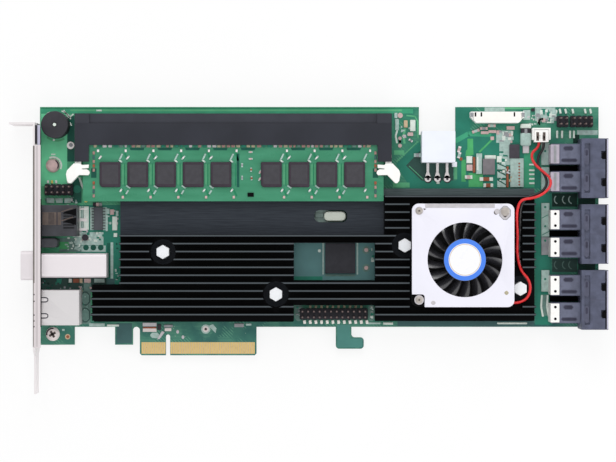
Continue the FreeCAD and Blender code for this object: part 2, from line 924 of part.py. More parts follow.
def fan_motor():
    floor = deck_z + fan_base_t
    bush = stud(fan_x, fan_y, floor - 0.6, floor + stator_h + 0.8, bearing_r)
    bore = rod(fan_x, fan_y, floor - 0.6, floor + stator_h + 0.8, shaft_r + shaft_clearance)
    save("fan_bearing", bush.cut(bore))
    core = stud(fan_x, fan_y, floor, floor + stator_h, stator_r)
    core = core.cut(stud(fan_x, fan_y, floor, floor + stator_h, bearing_wall_r))
    slots = []
    for k in range(stator_poles):
        slot = block(bearing_wall_r + 1.2, stator_r + 1, -stator_slot / 2, stator_slot / 2,
                     floor, floor + 1 + stator_h)
        slot.rotate(V(0, 0, 0), V(0, 0, 1), 45 + 360 * k / stator_poles)
        slot.translate(V(fan_x, fan_y, 0))
        slots.append(slot)
    save("fan_stator", core.cut(Part.makeCompound(slots)))
    hub_high = hub_levels()[1]
    save("fan_shaft", rod(fan_x, fan_y, floor - 0.3, hub_high - hub_top_t, shaft_r))


def hub_levels():
    low = deck_z + fan_base_t + hub_floor_gap
    return low, low + hub_h


def blade():
    """A flat blade leaning from the plane of the fan, with swept and rounded edges, drawn at angle zero."""
    low = hub_levels()[0]
    lean = math.radians(blade_pitch)
    along = V(0, math.cos(lean), math.sin(lean))
    across = V(0, -math.sin(lean), math.cos(lean))
    root = hub_r * math.cos(math.pi / hub_sides) - 0.2
    span = blade_tip_r - root
    lead_edge = [(share, blade_chord * (0.42 + 0.42 * share * (1.25 - share))) for share in (0, 0.35, 0.7, 0.97)]
    trail_edge = [(share, -blade_chord * (0.5 - 0.34 * share * share)) for share in (1, 0.75, 0.4, 0)]
    middle_z = low + blade_chord * 0.5 * math.sin(lean) + blade_t
    points = [V(root + share * span, 0, middle_z) + along * reach for share, reach in lead_edge + trail_edge]
    plate = Part.Face(Part.makePolygon(points + points[:1])).extrude(across * blade_t)
    return plate


def fan_rotor():
    low, high = hub_levels()
    shell = sided(0, 0, low, high, hub_r, hub_sides)
    hub = shell.cut(sided(0, 0, low, high - hub_top_t, hub_r - hub_wall, hub_sides))
    first = blade()
    blades = []
    for k in range(blade_count):
        copy = first.copy()
        copy.rotate(V(0, 0, 0), V(0, 0, 1), 360 * k / blade_count)
        blades.append(copy)
    rotor = hub.multiFuse(blades)
    rotor.translate(V(fan_x, fan_y, 0))
    save("fan_rotor", rotor)
    label = sided(fan_x, fan_y, high, high + label_t, label_r, hub_sides)
    save("fan_label", label)


# ---------------------------------------------------------------- leads
def lead_routes():
    """Route points of the two fan leads, from the plug to the lug on the fan's base: each is a distance from
    the fan's right-hand side, a height up the board and a height above the board's face."""
    red = [(12.0, 82.5, 2.9), (12.0, 79.5, 2.9), (9.9, 76.2, 3.6), (10.6, 71.8, 5.4),
           (13.4, 68.4, 7.6), (15.6, 65.6, 9.4), (15.8, 62.4, 10.9), (13.6, 59.6, 12.2),
           (9.6, 57.2, 13.3), (2.9, 55.3, 13.7), (1.2, 51.8, 12.4), (1.3, 46.9, 10.7),
           (1.8, 40.6, 9.6), (1.5, 33.0, 8.9), (3.2, 25.4, 8.2), (7.0, 21.6, 7.5), (7.9, 17.0, 7.4),
           (6.3, 12.9, 7.6), (2.7, 11.0, 8.0), (-0.1, 11.0, 8.0)]
    black = [(14.2, 82.5, 2.9), (14.2, 79.4, 2.9), (12.6, 75.4, 2.5), (12.0, 71.2, 3.4),
             (13.2, 67.2, 5.6), (14.0, 63.6, 8.2), (12.4, 60.6, 11.0), (9.0, 58.9, 12.2),
             (5.4, 57.6, 12.1), (3.3, 54.6, 11.7), (2.8, 50.6, 10.2), (3.0, 45.2, 8.4),
             (2.6, 37.5, 7.2), (2.8, 29.0, 6.5), (4.4, 23.4, 6.0), (7.0, 20.6, 5.8), (7.8, 16.4, 5.7),
             (6.2, 12.7, 5.9), (2.7, 11.0, 6.4), (-0.1, 11.0, 6.4)]
    return {"fan_lead_red": red, "fan_lead_black": black}


def lead(name, points):
    """A tube along straight runs joined by tangent arcs; prints its length, its smallest radius and its fit."""
    route = [V(fan_right + x, y, z + top) for x, y, z in points]
    edges = []
    radii = []
    at = route[0]
    for before, here, after in zip(route, route[1:], route[2:]):
        back = before - here
        on = after - here
        half = back.getAngle(on) / 2
        reach = 0.45 * min(back.Length, on.Length)
        radius = reach * math.tan(half)
        back.normalize()
        on.normalize()
        first = here + back * reach
        last = here + on * reach
        bisector = (back + on).normalize()
        middle = here + bisector * (radius / math.sin(half) - radius)
        edges.append(Part.makeLine(at, first))
        edges.append(Part.Arc(first, middle, last).toShape())
        radii.append(radius)
        at = last
    edges.append(Part.makeLine(at, route[-1]))
    path = Part.Wire(edges)
    corners = [2 * math.pi * (k + 0.5) / lead_sides for k in range(lead_sides + 1)]
    ring = Part.makePolygon([route[0] + V(lead_r * math.cos(a), 0, lead_r * math.sin(a)) for a in corners])
    tube = path.makePipeShell([ring], True, False)
    section = lead_sides / 2 * lead_r ** 2 * math.sin(2 * math.pi / lead_sides)
    print(name, "length", round(path.Length, 1), "smallest radius", round(min(radii), 2),
          "volume ratio", round(tube.Volume / (section * path.Length), 4), "valid", tube.isValid())
    save(name, tube)


def fan_plug_and_header():
    x0 = plug_x - plug_width / 2
    x1 = plug_x + plug_width / 2
    low = top + plug_lift
    high = low + plug_h
    body = block(x0, x1, plug_y, plug_y + plug_length, low, high)
    windows = [block(x - 0.7, x + 0.7, plug_y + 1.4, plug_y + 3.2, high - 0.5, high)
               for x in (plug_x - 1.1, plug_x + 1.1)]
    save("fan_plug", body.cut(Part.makeCompound(windows)))
    shell_low = plug_y + plug_length - header_depth + 1.2
    shell = block(x0 - header_wall - plug_play, x1 + header_wall + plug_play, shell_low,
                  plug_y + plug_length + header_wall + plug_play, top, high + header_wall * 0.2)
    cavity = block(x0 - plug_play, x1 + plug_play, shell_low - 1, plug_y + plug_length + plug_play,
                   low - plug_play, high + header_wall)
    save("fan_header", shell.cut(cavity))


# ---------------------------------------------------------------- connectors
def power_connector():
    x1 = power_x + power_width
    y1 = power_low + power_depth
    z1 = top + power_h
    body = block(power_x, x1, power_low, y1, top, z1)
    mouth = block(power_x + power_wall, x1 - power_wall, y1 - power_mouth_depth, y1 + 1,
                  top + power_floor, z1 - power_wall)
    foot = block(x1 - 1.0, x1 + 1.2, power_low - 1.8, power_low + 0.5, top, top + 2.4)
    save("power_connector", fuse([body.cut(mouth), foot]))
    leads = []
    middle = power_x + power_width / 2
    for k in range(power_leads):
        x = middle + (k - (power_leads - 1) / 2) * power_lead_pitch
        y0 = power_low - power_lead_length
        flat = block(x - power_lead_width / 2, x + power_lead_width / 2, y0, power_low, top, top + power_lead_t)
        foot = stud(x, y0 + power_lead_width * 0.2, top, top + power_lead_t, power_lead_width * 0.75)
        leads.append(fuse([flat, foot]))
    group("power_connector_leads", leads)


def ribbon_connector():
    x0 = ribbon_x
    x1 = ribbon_x + ribbon_width
    y0 = ribbon_low
    y1 = ribbon_low + ribbon_depth
    body = prism([(x0 + ribbon_chamfer, y0), (x1 - ribbon_chamfer, y0), (x1, y0 + ribbon_chamfer), (x1, y1),
                  (x0, y1), (x0, y0 + ribbon_chamfer)], top, top + ribbon_h)
    high = top + ribbon_h
    slot = block(x0 + 2.2, x1 - 2.2, y0 + 1.6, y0 + 1.6 + ribbon_slot_width, high - ribbon_slot_depth, high)
    notches = [block(x - 0.4, x + 0.4, y0 + 0.6, y1 - 0.6, high - 1.5, high)
               for x in (x0 + 1.2, x1 - 1.2)]
    save("ribbon_connector", body.cut(slot).cut(Part.makeCompound(notches)))


def header_body(x, y, columns, rows):
    """A moulded strip of square cells with chamfered corners; x, y is its lower left corner."""
    cells = []
    for i in range(columns):
        x0 = x + i * pin_pitch
        x1 = x0 + pin_pitch
        y1 = y + rows * pin_pitch
        c = header_chamfer
        cells.append(prism([(x0 + c, y), (x1 - c, y), (x1, y + c), (x1, y1 - c), (x1 - c, y1), (x0 + c, y1),
                            (x0, y1 - c), (x0, y + c)], top, top + pin_body_h))
    return fuse(cells)


def header_pins(x, y, columns, rows):
    return [(x + (i + 0.5) * pin_pitch, y + (j + 0.5) * pin_pitch) for i in range(columns) for j in range(rows)]


def pin_headers():
    corner_2 = corner_header_x + 2 * pin_pitch + corner_gap
    layouts = [(left_header_x, left_header_y, 5, 2), (bottom_header_x, bottom_header_y, 12, 2),
               (corner_header_x, corner_header_y, 2, 2), (corner_2, corner_header_y, 4, 2)]
    group("pin_headers", [header_body(*layout) for layout in layouts])
    pins = []
    for layout in layouts:
        for px, py in header_pins(*layout):
            pins.append(block(px - pin_side / 2, px + pin_side / 2, py - pin_side / 2, py + pin_side / 2,
                              top + pin_body_h, top + pin_top))
    group("header_pins", pins)


# ---------------------------------------------------------------- jacks
def network_jack():
    x0 = sheet_front()
    x1 = network_end
    y0 = network_low
    y1 = network_low + network_width
    z1 = top + network_h
    outer = block(x0, x1, y0, y1, top, z1)
    inner = block(x0 - 1, x1 - shield_t, y0 + shield_t, y1 - shield_t, top - 1, z1 - shield_t)
    shield = outer.cut(inner)
    springs = []
    for share in (0.27, 0.73):
        y = y0 + network_width * share
        tongue = block(sheet_back() + 0.4, sheet_back() + spring_length, y - spring_width / 2,
                       y + spring_width / 2, z1 - 2 * shield_t, z1 + 1)
        end = stud(sheet_back() + spring_length, y, z1 - 2 * shield_t, z1 + 1, spring_width / 2)
        core = block(sheet_back(), sheet_back() + spring_length, y - spring_width / 2 + spring_cut,
                     y + spring_width / 2 - spring_cut, z1 - 2 * shield_t, z1 + 1)
        core_end = stud(sheet_back() + spring_length, y, z1 - 2 * shield_t, z1 + 1,
                        spring_width / 2 - spring_cut)
        springs.append(tongue.fuse(end).cut(core).cut(core_end))
    for cut in springs:
        shield = shield.cut(cut)
    save("network_jack_shield", shield)
    body = block(x0 + 0.3, x1 - shield_t, y0 + shield_t, y1 - shield_t, top, z1 - shield_t)
    mid = (y0 + y1) / 2
    mouth = block(x0 - 1, x0 + network_mouth_depth, mid - network_mouth_width / 2, mid + network_mouth_width / 2,
                  top + network_wall, top + network_wall + network_mouth_h)
    key = block(x0 - 1, x0 + network_mouth_depth * 0.7, mid - 3, mid + 3, top + network_wall,
                top + network_wall + network_mouth_h + 1.5)
    save("network_jack_insert", body.cut(mouth).cut(key))


def serial_jack():
    y1 = jack_low + jack_width
    z1 = top + jack_h
    body = block(0, jack_end, jack_low, y1, top, z1)
    mid = jack_low + jack_width / 2
    mouth = block(-1, jack_mouth_depth, mid - jack_mouth_width / 2, mid + jack_mouth_width / 2,
                  top + jack_wall, top + jack_wall + jack_mouth_h)
    windows = []
    for k in range(6):
        y = mid + (k - 2.5) * 1.27
        windows.append(block(jack_end - 6.0, jack_end - 1.2, y - 0.35, y + 0.35, z1 - 1.0, z1))
    save("serial_jack", body.cut(mouth).cut(Part.makeCompound(windows)))


def led_heights():
    return top + led_h * 0.3, top + led_h * 0.72


def light_pipe(x0, x1, z, radius):
    pipe = stud(0, 0, 0, x1 - x0, radius)
    pipe.rotate(V(0, 0, 0), V(0, 1, 0), 90)
    pipe.translate(V(x0, led_low + led_width / 2, z))
    return pipe


def led_housing():
    corner = led_width * 0.22
    y1 = led_low + led_width
    body = prism([(0, led_low), (led_end - corner, led_low), (led_end, led_low + corner), (led_end, y1 - corner),
                  (led_end - corner, y1), (0, y1)], top, top + led_h)
    pieces = [body]
    for z in led_heights():
        pieces.append(light_pipe(sheet_front() - 0.2, 0.5, z, led_pipe_r))
    save("led_housing", fuse(pieces))


def cage_form(x0, x1, grow):
    """The outer form of the external port's cage, with rounded long edges."""
    mid_y = cage_low + cage_width / 2
    mid_z = top + cage_h / 2
    half_y = cage_width / 2 + grow
    half_z = cage_h / 2 + grow
    form = prism([(-half_z, -half_y), (half_z, -half_y), (half_z, half_y), (-half_z, half_y)], 0, x1 - x0,
                 collar_corner_r)
    form.rotate(V(0, 0, 0), V(0, 1, 0), 90)
    form.translate(V(x0, mid_y, mid_z))
    return form


def external_port():
    front = sheet_front() - collar_out
    cage = cage_form(front, cage_end, 0.0).cut(cage_form(front - 1, cage_end - cage_t, -cage_t))
    lip = cage_form(front, sheet_front(), collar_flare).cut(cage_form(front - 1, sheet_front() + 1, 0.0))
    cage = fuse([cage, lip])
    back_z = block(0.2, cage_end, cage_low, cage_low + cage_width, top - 1, top)
    save("external_port_cage", cage.cut(back_z))
    core = cage_form(front + cage_fill_end, cage_end - cage_t, -cage_t)
    tongue_mid = top + cage_h / 2
    tongue = block(front + cage_fill_end - tip_reach, front + cage_fill_end + 1, cage_low + 2.4,
                   cage_low + cage_width - 2.4, tongue_mid - 0.6, tongue_mid + 0.6)
    save("external_port_insert", fuse([core, tongue]))


# ---------------------------------------------------------------- drive ports
def tower_rows(k):
    return [port_low_y(k) + tower_low_in, port_low_y(k) + tower_high_in]


def mouth_levels():
    lower = top + mouth_floor
    return lower, lower + mouth_h + mouth_web


def drive_port(k):
    front = port_front()
    rear = port_rear()
    y0 = port_low_y(k)
    y1 = y0 + port_width
    mid = (y0 + y1) / 2
    high = top + port_h
    pieces = [block(rear, front, y0, y1, top, high)]
    for y in tower_rows(k):
        pieces.append(block(rear - tower_back, rear + 1, y, y + tower_width, top, top + tower_h))
    peg_x, peg_y = peg_places()[k]
    pieces.append(stud(peg_x, peg_y, -peg_length, top, peg_r))
    body = fuse(pieces)
    cuts = [block(rear + groove_in, rear + groove_in + groove_width, y0 + 2.3, y1 - 2.3,
                  high - groove_depth, high),
            block(front - lip_t - lip_groove, front - lip_t, y0, y1, high - groove_depth, high)]
    for y in (mid - 6.0, mid + 6.0):
        cuts.append(block(front - lip_t - lip_groove - latch_window_length, front - lip_t,
                          y - latch_window_width / 2, y + latch_window_width / 2, high - 2 * groove_depth, high))
    for z in mouth_levels():
        cuts.append(block(front - mouth_depth, front + 1, mid - mouth_width / 2, mid + mouth_width / 2,
                          z, z + mouth_h))
    for y in tower_rows(k):
        cuts.append(block(rear - 8.6, rear - 2.4, y + 1.4, y + 2.3, top + tower_h - 1.2, top + tower_h))
        cuts.append(block(rear - 8.2, rear - 3.8, y + 6.6, y + 8.2, top + tower_h - 0.7, top + tower_h))
    save(f"drive_port_{k + 1}", body.cut(Part.makeCompound(cuts)))


def drive_port_tongues():
    tongues = []
    for k in range(port_groups):
        mid = port_low_y(k) + port_width / 2
        x0 = port_front() - mouth_depth
        for z in mouth_levels():
            middle = z + mouth_h / 2
            tongues.append(block(x0, x0 + tongue_reach, mid - mouth_width / 2 + tongue_side,
                                 mid + mouth_width / 2 - tongue_side, middle - tongue_t / 2,
                                 middle + tongue_t / 2))
    group("drive_port_tongues", tongues)


def drive_port_clips():
    clips = []
    for k in range(port_groups):
        for y in tower_rows(k):
            x1 = port_rear() - tower_back
            high = top + tower_h
            back = block(x1 - clip_t, x1, y + 0.4, y + tower_width - 0.4, top, high + clip_t)
            over = block(x1 - clip_t, x1 + clip_wrap, y + 0.4, y + tower_width - 0.4, high, high + clip_t)
            clips.append(fuse([back, over]))
    group("drive_port_clips", clips)


board()
edge_contacts()
bracket()
bracket_screws()
buzzer()
memory_socket()
save("latch_left", latch(-1))
save("latch_right", latch(1))
memory_board()
memory_chips()
socket_contacts()
heatsink()
heatsink_fixings()
chips()
leaded_chip()
power_parts()
fan_base()
fan_cover()
fan_screws()
fan_motor()
fan_rotor()
for lead_name, lead_points in lead_routes().items():
    lead(lead_name, lead_points)
fan_plug_and_header()
power_connector()
ribbon_connector()
pin_headers()
network_jack()
serial_jack()
led_housing()
external_port()
for number in range(port_groups):
    drive_port(number)
drive_port_tongues()
drive_port_clips()
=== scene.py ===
# %% [markdown]
# # A card that drives storage disks
# The card is a long green board with a finned black heatsink, a small white fan, a memory module in
# its socket, a steel bracket and cable ports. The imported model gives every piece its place, so the
# script only adds finishes, fine parts and light. Lengths are metres, and MM turns millimetres into
# metres.

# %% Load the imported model
import math
import random

import bmesh
import bpy
from mathutils import Matrix, Vector


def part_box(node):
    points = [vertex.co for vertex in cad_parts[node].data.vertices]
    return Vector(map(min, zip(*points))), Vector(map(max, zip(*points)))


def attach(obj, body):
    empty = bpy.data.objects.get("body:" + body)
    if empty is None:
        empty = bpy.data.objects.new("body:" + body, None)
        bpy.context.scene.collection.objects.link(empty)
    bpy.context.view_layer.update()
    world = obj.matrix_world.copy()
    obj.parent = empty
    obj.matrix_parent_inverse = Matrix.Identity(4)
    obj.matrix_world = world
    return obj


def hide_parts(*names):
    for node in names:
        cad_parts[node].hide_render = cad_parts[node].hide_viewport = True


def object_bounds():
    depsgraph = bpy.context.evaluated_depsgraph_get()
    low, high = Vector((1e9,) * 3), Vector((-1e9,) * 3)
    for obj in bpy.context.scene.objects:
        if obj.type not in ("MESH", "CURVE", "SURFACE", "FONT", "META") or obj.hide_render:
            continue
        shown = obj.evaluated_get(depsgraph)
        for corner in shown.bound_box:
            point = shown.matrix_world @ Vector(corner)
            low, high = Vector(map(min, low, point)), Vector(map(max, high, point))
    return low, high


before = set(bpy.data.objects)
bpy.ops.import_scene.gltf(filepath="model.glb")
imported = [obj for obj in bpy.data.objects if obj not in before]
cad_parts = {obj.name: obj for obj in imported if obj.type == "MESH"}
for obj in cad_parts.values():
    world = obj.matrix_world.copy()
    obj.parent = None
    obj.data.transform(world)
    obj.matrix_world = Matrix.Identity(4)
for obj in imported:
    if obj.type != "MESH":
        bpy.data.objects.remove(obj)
cad_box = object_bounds()
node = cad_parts
MM = 0.001

# %% [markdown]
# A board maker measures every part from the board's left edge and lower edge. The helper `place`
# does the same: x to the right, y upwards and z above the board's face, all in millimetres. The
# slots of the edge contacts hang below the body of the board, so the lower edge is found from the
# top edge and the body's height.

# %% Places on the board
body_height = 98.4
board_low, board_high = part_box("circuit_board")


def place(x, y, z=0.0):
    """A point x from the board's left edge, y above its lower edge and z above its face, in mm."""
    return Vector((board_low.x + x * MM, board_high.y + (y - body_height) * MM,
                   board_high.z + z * MM))


def span(name):
    """The lowest and highest x, y and z of a node, in mm on the board."""
    zero = place(0, 0)
    low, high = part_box(name)
    return [v / MM for v in low - zero], [v / MM for v in high - zero]


def middle(name):
    (x0, y0, _), (x1, y1, _) = span(name)
    return (x0 + x1) / 2, (y0 + y1) / 2


board_length = (board_high.x - board_low.x) / MM
print("board", round(board_length, 2), "mm long")

# %% [markdown]
# A technical picture of a card is taken from straight above with a long lens, so that the tall
# pieces lean outwards only a little. The camera's height sets that lean, and the lens is worked out
# from the width that the picture takes in.

# %% Camera
camera_height = 0.93
picture_width = 0.2757
picture_middle = place(119.95, 42.9)
lens_data = bpy.data.cameras.new("camera")
lens_data.sensor_width = 36.0
lens_data.lens = lens_data.sensor_width * camera_height / picture_width
lens_data.clip_start = 0.01
camera = bpy.data.objects.new("camera", lens_data)
camera.location = picture_middle + Vector((0, 0, camera_height))
bpy.context.scene.collection.objects.link(camera)
bpy.context.scene.camera = camera
print("lens", round(lens_data.lens, 1), "mm")

# %% [markdown]
# Colours are easiest to choose as the 0 to 255 values of a screen, but a shader wants linear light,
# so `shade` converts them.

# %% Colours


def shade(r, g, b):
    """A screen colour as linear light."""
    def linear(v):
        v /= 255.0
        return v / 12.92 if v <= 0.04045 else ((v + 0.055) / 1.055) ** 2.4
    return (linear(r), linear(g), linear(b), 1.0)


print("middle grey is", round(shade(128, 128, 128)[0], 3), "in linear light")

# %% [markdown]
# A finish and the sky are both made of nodes that feed one another. `Nodes` keeps one tree of them
# and adds the kinds that this card needs: a sum, a change of range, a ramp of colours and a mix.
# Anything that goes into a node may be a plain value or another node's socket, which `feed` tells
# apart.

# %% Nodes of one tree


class Nodes:
    """Short ways to add and join the nodes of one tree."""

    def __init__(self, tree):
        self.tree = tree

    def add(self, kind, **settings):
        made = self.tree.nodes.new(kind)
        for key, value in settings.items():
            setattr(made, key, value)
        return made

    def link(self, start, end):
        self.tree.links.new(start, end)

    def feed(self, made, inputs):
        """Gives a node's inputs, by their numbers, plain values or links to other sockets."""
        for number, value in inputs.items():
            if isinstance(value, bpy.types.NodeSocket):
                self.link(value, made.inputs[number])
            elif value is not None:
                made.inputs[number].default_value = value

    def maths(self, kind, first, second=0.5, third=None):
        made = self.add("ShaderNodeMath", operation=kind)
        self.feed(made, {0: first, 1: second, 2: third})
        return made.outputs["Value"]

    def range(self, source, low, high, to_low, to_high):
        made = self.add("ShaderNodeMapRange")
        self.feed(made, {0: source, 1: low, 2: high, 3: to_low, 4: to_high})
        return made.outputs["Result"]

    def ramp(self, source, *stops, smooth=True):
        """Turns a value into a colour, through (position, colour) stops."""
        made = self.add("ShaderNodeValToRGB")
        made.color_ramp.interpolation = "LINEAR" if smooth else "CONSTANT"
        points = made.color_ramp.elements
        while len(points) < len(stops):
            points.new(0.5)
        for point, (position, colour) in zip(points, stops):
            point.position = position
            point.color = colour if hasattr(colour, "__len__") else (colour, colour, colour, 1.0)
        self.link(source, made.inputs[0])
        return made.outputs["Color"]

    def mix(self, factor, first, second):
        """Mixes two colours."""
        made = self.add("ShaderNodeMix", data_type="RGBA")
        self.feed(made, {0: factor, 6: first, 7: second})
        return made.outputs[2]

    def seen(self):
        """1 where the camera or a reflection looks, and 0 for light on its way to the card."""
        rays = self.add("ShaderNodeLightPath")
        return self.maths("MAXIMUM", rays.outputs["Is Camera Ray"], rays.outputs["Is Glossy Ray"])


print("node helpers are ready")

# %% [markdown]
# A finish is one material. Its patterns read the object's own coordinates, turned into millimetres,
# so that a grain keeps its size from piece to piece. What is the same all over a surface, such as
# how metallic it is, is set on the shader itself.

# %% A finish and its patterns
COAT_ROUGHNESS = 0.1


class Finish(Nodes):
    """A material with its shader, and the patterns that it is painted with."""

    def __init__(self, name):
        self.material = bpy.data.materials.new(name)
        self.material.use_nodes = True
        super().__init__(self.material.node_tree)
        self.shader = self.tree.nodes["Principled BSDF"]
        coords = self.add("ShaderNodeTexCoord")
        scale = self.add("ShaderNodeMapping")
        scale.inputs["Scale"].default_value = (1 / MM, 1 / MM, 1 / MM)
        self.link(coords.outputs["Object"], scale.inputs["Vector"])
        self.place = scale.outputs["Vector"]

    def axis(self, letter):
        """One coordinate of the object, in mm."""
        made = self.add("ShaderNodeSeparateXYZ")
        self.link(self.place, made.inputs["Vector"])
        return made.outputs[letter]

    def noise(self, size, detail=3.0, stretch=None):
        """Cloudy pattern whose patches are about this many mm across."""
        made = self.add("ShaderNodeTexNoise")
        made.inputs["Scale"].default_value = 1.0 / size
        made.inputs["Detail"].default_value = detail
        source = self.place
        if stretch:
            turn = self.add("ShaderNodeMapping")
            turn.inputs["Scale"].default_value = stretch
            self.link(source, turn.inputs["Vector"])
            source = turn.outputs["Vector"]
        self.link(source, made.inputs["Vector"])
        return made.outputs["Fac"]

    def cells(self, size):
        """Distance from the nearest of many points that lie about this many mm apart."""
        made = self.add("ShaderNodeTexVoronoi")
        made.inputs["Scale"].default_value = 1.0 / size
        self.link(self.place, made.inputs["Vector"])
        return made.outputs["Distance"]

    def bands(self, direction, scale):
        """Even stripes along one direction."""
        made = self.add("ShaderNodeTexWave", wave_type="BANDS", bands_direction=direction)
        made.inputs["Scale"].default_value = scale
        self.link(self.place, made.inputs["Vector"])
        return made.outputs["Fac"]

    def colour(self, source):
        self.link(source, self.shader.inputs["Base Color"])

    def roughness(self, source, low, high):
        self.link(self.range(source, 0.3, 0.7, low, high), self.shader.inputs["Roughness"])

    def bump(self, source, depth, strength=1.0):
        """Bumps this many mm deep."""
        made = self.add("ShaderNodeBump")
        made.inputs["Distance"].default_value = depth * MM
        made.inputs["Strength"].default_value = strength
        self.link(source, made.inputs["Height"])
        self.link(made.outputs["Normal"], self.shader.inputs["Normal"])

    def gloss(self, metallic=0.0, specular=0.5, coat=0.0):
        for key, value in (("Metallic", metallic), ("Specular IOR Level", specular),
                           ("Coat Weight", coat), ("Coat Roughness", COAT_ROUGHNESS)):
            self.shader.inputs[key].default_value = value
        return self.material


print("finishes can be painted")

# %% [markdown]
# Nearly all pieces of the card are either moulded or plated. A moulded surface has slow clouds in
# its colour and a fine grain. A plated or brushed one has streaks along one axis. Two helpers make
# them, from a screen colour and a few amounts, so that some seventy finishes differ only in
# numbers.

# %% Moulded and plated finishes


def moulded(name, colour, rough=0.45, specular=0.4, vary=0.12, grain=0.25, patch=9.0, depth=0.01,
            coat=0.0):
    """Moulded plastic: slight clouds in the colour and a fine grain on the surface."""
    finish = Finish(name)
    plain = shade(*colour)[:3]
    dark = [c * (1 - vary) for c in plain] + [1.0]
    light = [min(1.0, c * (1 + vary)) for c in plain] + [1.0]
    clouds = finish.noise(patch)
    fine = finish.noise(grain, detail=2.0)
    finish.colour(finish.ramp(clouds, (0.35, dark), (0.65, light)))
    finish.roughness(clouds, rough - 0.06, rough + 0.08)
    finish.bump(fine, depth)
    return finish.gloss(specular=specular, coat=coat)


def plated(name, colour, rough=0.3, vary=0.1, stretch=(0.08, 1.0, 1.0), grain=0.3, metallic=1.0):
    """Plated or brushed metal: fine streaks along one axis, with soft clouds over them."""
    finish = Finish(name)
    full = shade(*colour)
    dark = [c * (1 - vary) for c in full[:3]] + [1.0]
    streaks = finish.noise(grain, detail=4.0, stretch=stretch)
    clouds = finish.ramp(finish.noise(14.0), (0.3, 0.0), (0.7, 1.0))
    finish.colour(finish.mix(clouds, finish.ramp(streaks, (0.3, dark), (0.7, full)), full))
    finish.roughness(streaks, rough - 0.08, rough + 0.1)
    finish.bump(streaks, depth=0.006)
    return finish.gloss(metallic=metallic)


print("moulded and plated finishes can be made")

# %% [markdown]
# The solder mask is a glossy green varnish over copper. It looks lighter over wide copper and bluer
# over bare laminate. Its colour drifts slowly from a light green at the left end of the board to teal
# at the right end. This drift is partly the copper below and partly a painted reflection of the light
# on the left side. Towards the lower edge the varnish turns darker, which is painted shade. Faint
# bands make the bundles of tracks, and small pale dots are the plated holes between the layers. The
# wide pours come later, as shapes.

# %% Solder mask of the board
left_end, right_end = -57.0, 190.0
shaded_below, plain_above = 14.0, 24.0
track_scale = {"DIAGONAL": 0.42, "Y": 0.5}
via_spacing = 2.6


def solder_mask():
    finish = Finish("solder_mask")
    # painted reflection, partly: the varnish is light green at the left end and turns teal towards
    # the right
    along = finish.range(finish.axis("X"), left_end, right_end, 0.0, 1.0)
    upper = finish.ramp(along, (0.0, shade(80, 170, 126)), (0.3, shade(60, 138, 108)),
                        (0.75, shade(36, 118, 98)), (1.0, shade(46, 120, 102)))
    # painted shade: the varnish turns darker towards the lower edge, fully below 14 mm
    height = finish.range(finish.axis("Y"), shaded_below, plain_above, 1.0, 0.0)
    ground = finish.mix(finish.maths("MULTIPLY", height, 0.8), upper, shade(46, 90, 92))
    clouds = finish.ramp(finish.noise(9.0), (0.35, 0.0), (0.65, 1.0))
    ground = finish.mix(finish.maths("MULTIPLY", clouds, 0.25), ground, shade(100, 172, 138))
    bundle, straight = (finish.bands(*pair) for pair in track_scale.items())
    which = finish.ramp(finish.noise(16.0, detail=1.0), (0.0, 0.0), (0.5, 1.0), smooth=False)
    tracks = finish.ramp(finish.mix(which, bundle, straight), (0.55, 0.0), (0.75, 1.0))
    where = finish.ramp(finish.noise(8.0, detail=2.0), (0.46, 0.0), (0.54, 1.0))
    seen = finish.maths("MULTIPLY", tracks, where)
    lighter = finish.mix(finish.maths("MULTIPLY", seen, 0.4), ground, shade(122, 188, 154))
    dots = finish.ramp(finish.cells(via_spacing), (0.07, 1.0), (0.10, 0.0))
    few = finish.ramp(finish.noise(11.0), (0.5, 0.0), (0.56, 1.0))
    holes = finish.maths("MULTIPLY", dots, few)
    finish.colour(finish.mix(finish.maths("MULTIPLY", holes, 0.6), lighter, shade(176, 196, 176)))
    finish.roughness(finish.noise(6.0), 0.32, 0.45)
    finish.bump(seen, 0.03, 0.5)
    return finish.gloss(specular=0.2)


def dress(finish, *names):
    """Gives carried-over nodes a finish."""
    for name in names:
        node[name].data.materials.clear()
        node[name].data.materials.append(finish)


dress(solder_mask(), "circuit_board")
print("solder mask is on the board")

# %% [markdown]
# The fan's two leads lie on the heatsink and the board. A lead is limp insulated wire, so its line
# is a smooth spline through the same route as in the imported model, with a round section. The camera
# and the leads come first, because everything else is arranged round them. A lead could be swept as
# a mesh too, but a curve with a bevel keeps the route a short list of points that can be moved one
# by one.

# %% Fan leads
red_vinyl = moulded("red_vinyl", (222, 34, 38), rough=0.35, specular=0.5, vary=0.1, grain=0.5,
                    patch=4.0)
black_vinyl = moulded("black_vinyl", (26, 24, 26), rough=0.35, specular=0.5, vary=0.2, grain=0.5,
                      patch=4.0)
fan_side = span("fan_cover")[1][0]
lead_diameter = 1.2 * MM
red_route = [(12.0, 82.5, 2.9), (12.0, 80.4, 2.9), (8.4, 77.6, 3.4), (9.2, 73.2, 5.0),
             (13.2, 69.4, 7.2), (16.6, 66.4, 9.2), (16.2, 62.4, 10.9), (12.8, 59.2, 12.4),
             (8.4, 57.4, 13.3), (2.6, 56.8, 13.7), (1.2, 51.8, 12.4), (1.3, 46.9, 10.7),
             (1.8, 40.6, 9.6), (1.5, 33.0, 8.9), (3.2, 25.4, 8.2), (7.0, 21.6, 7.5),
             (7.9, 17.0, 7.4), (6.3, 12.9, 7.6), (2.7, 11.0, 8.0), (-0.1, 11.0, 8.0)]
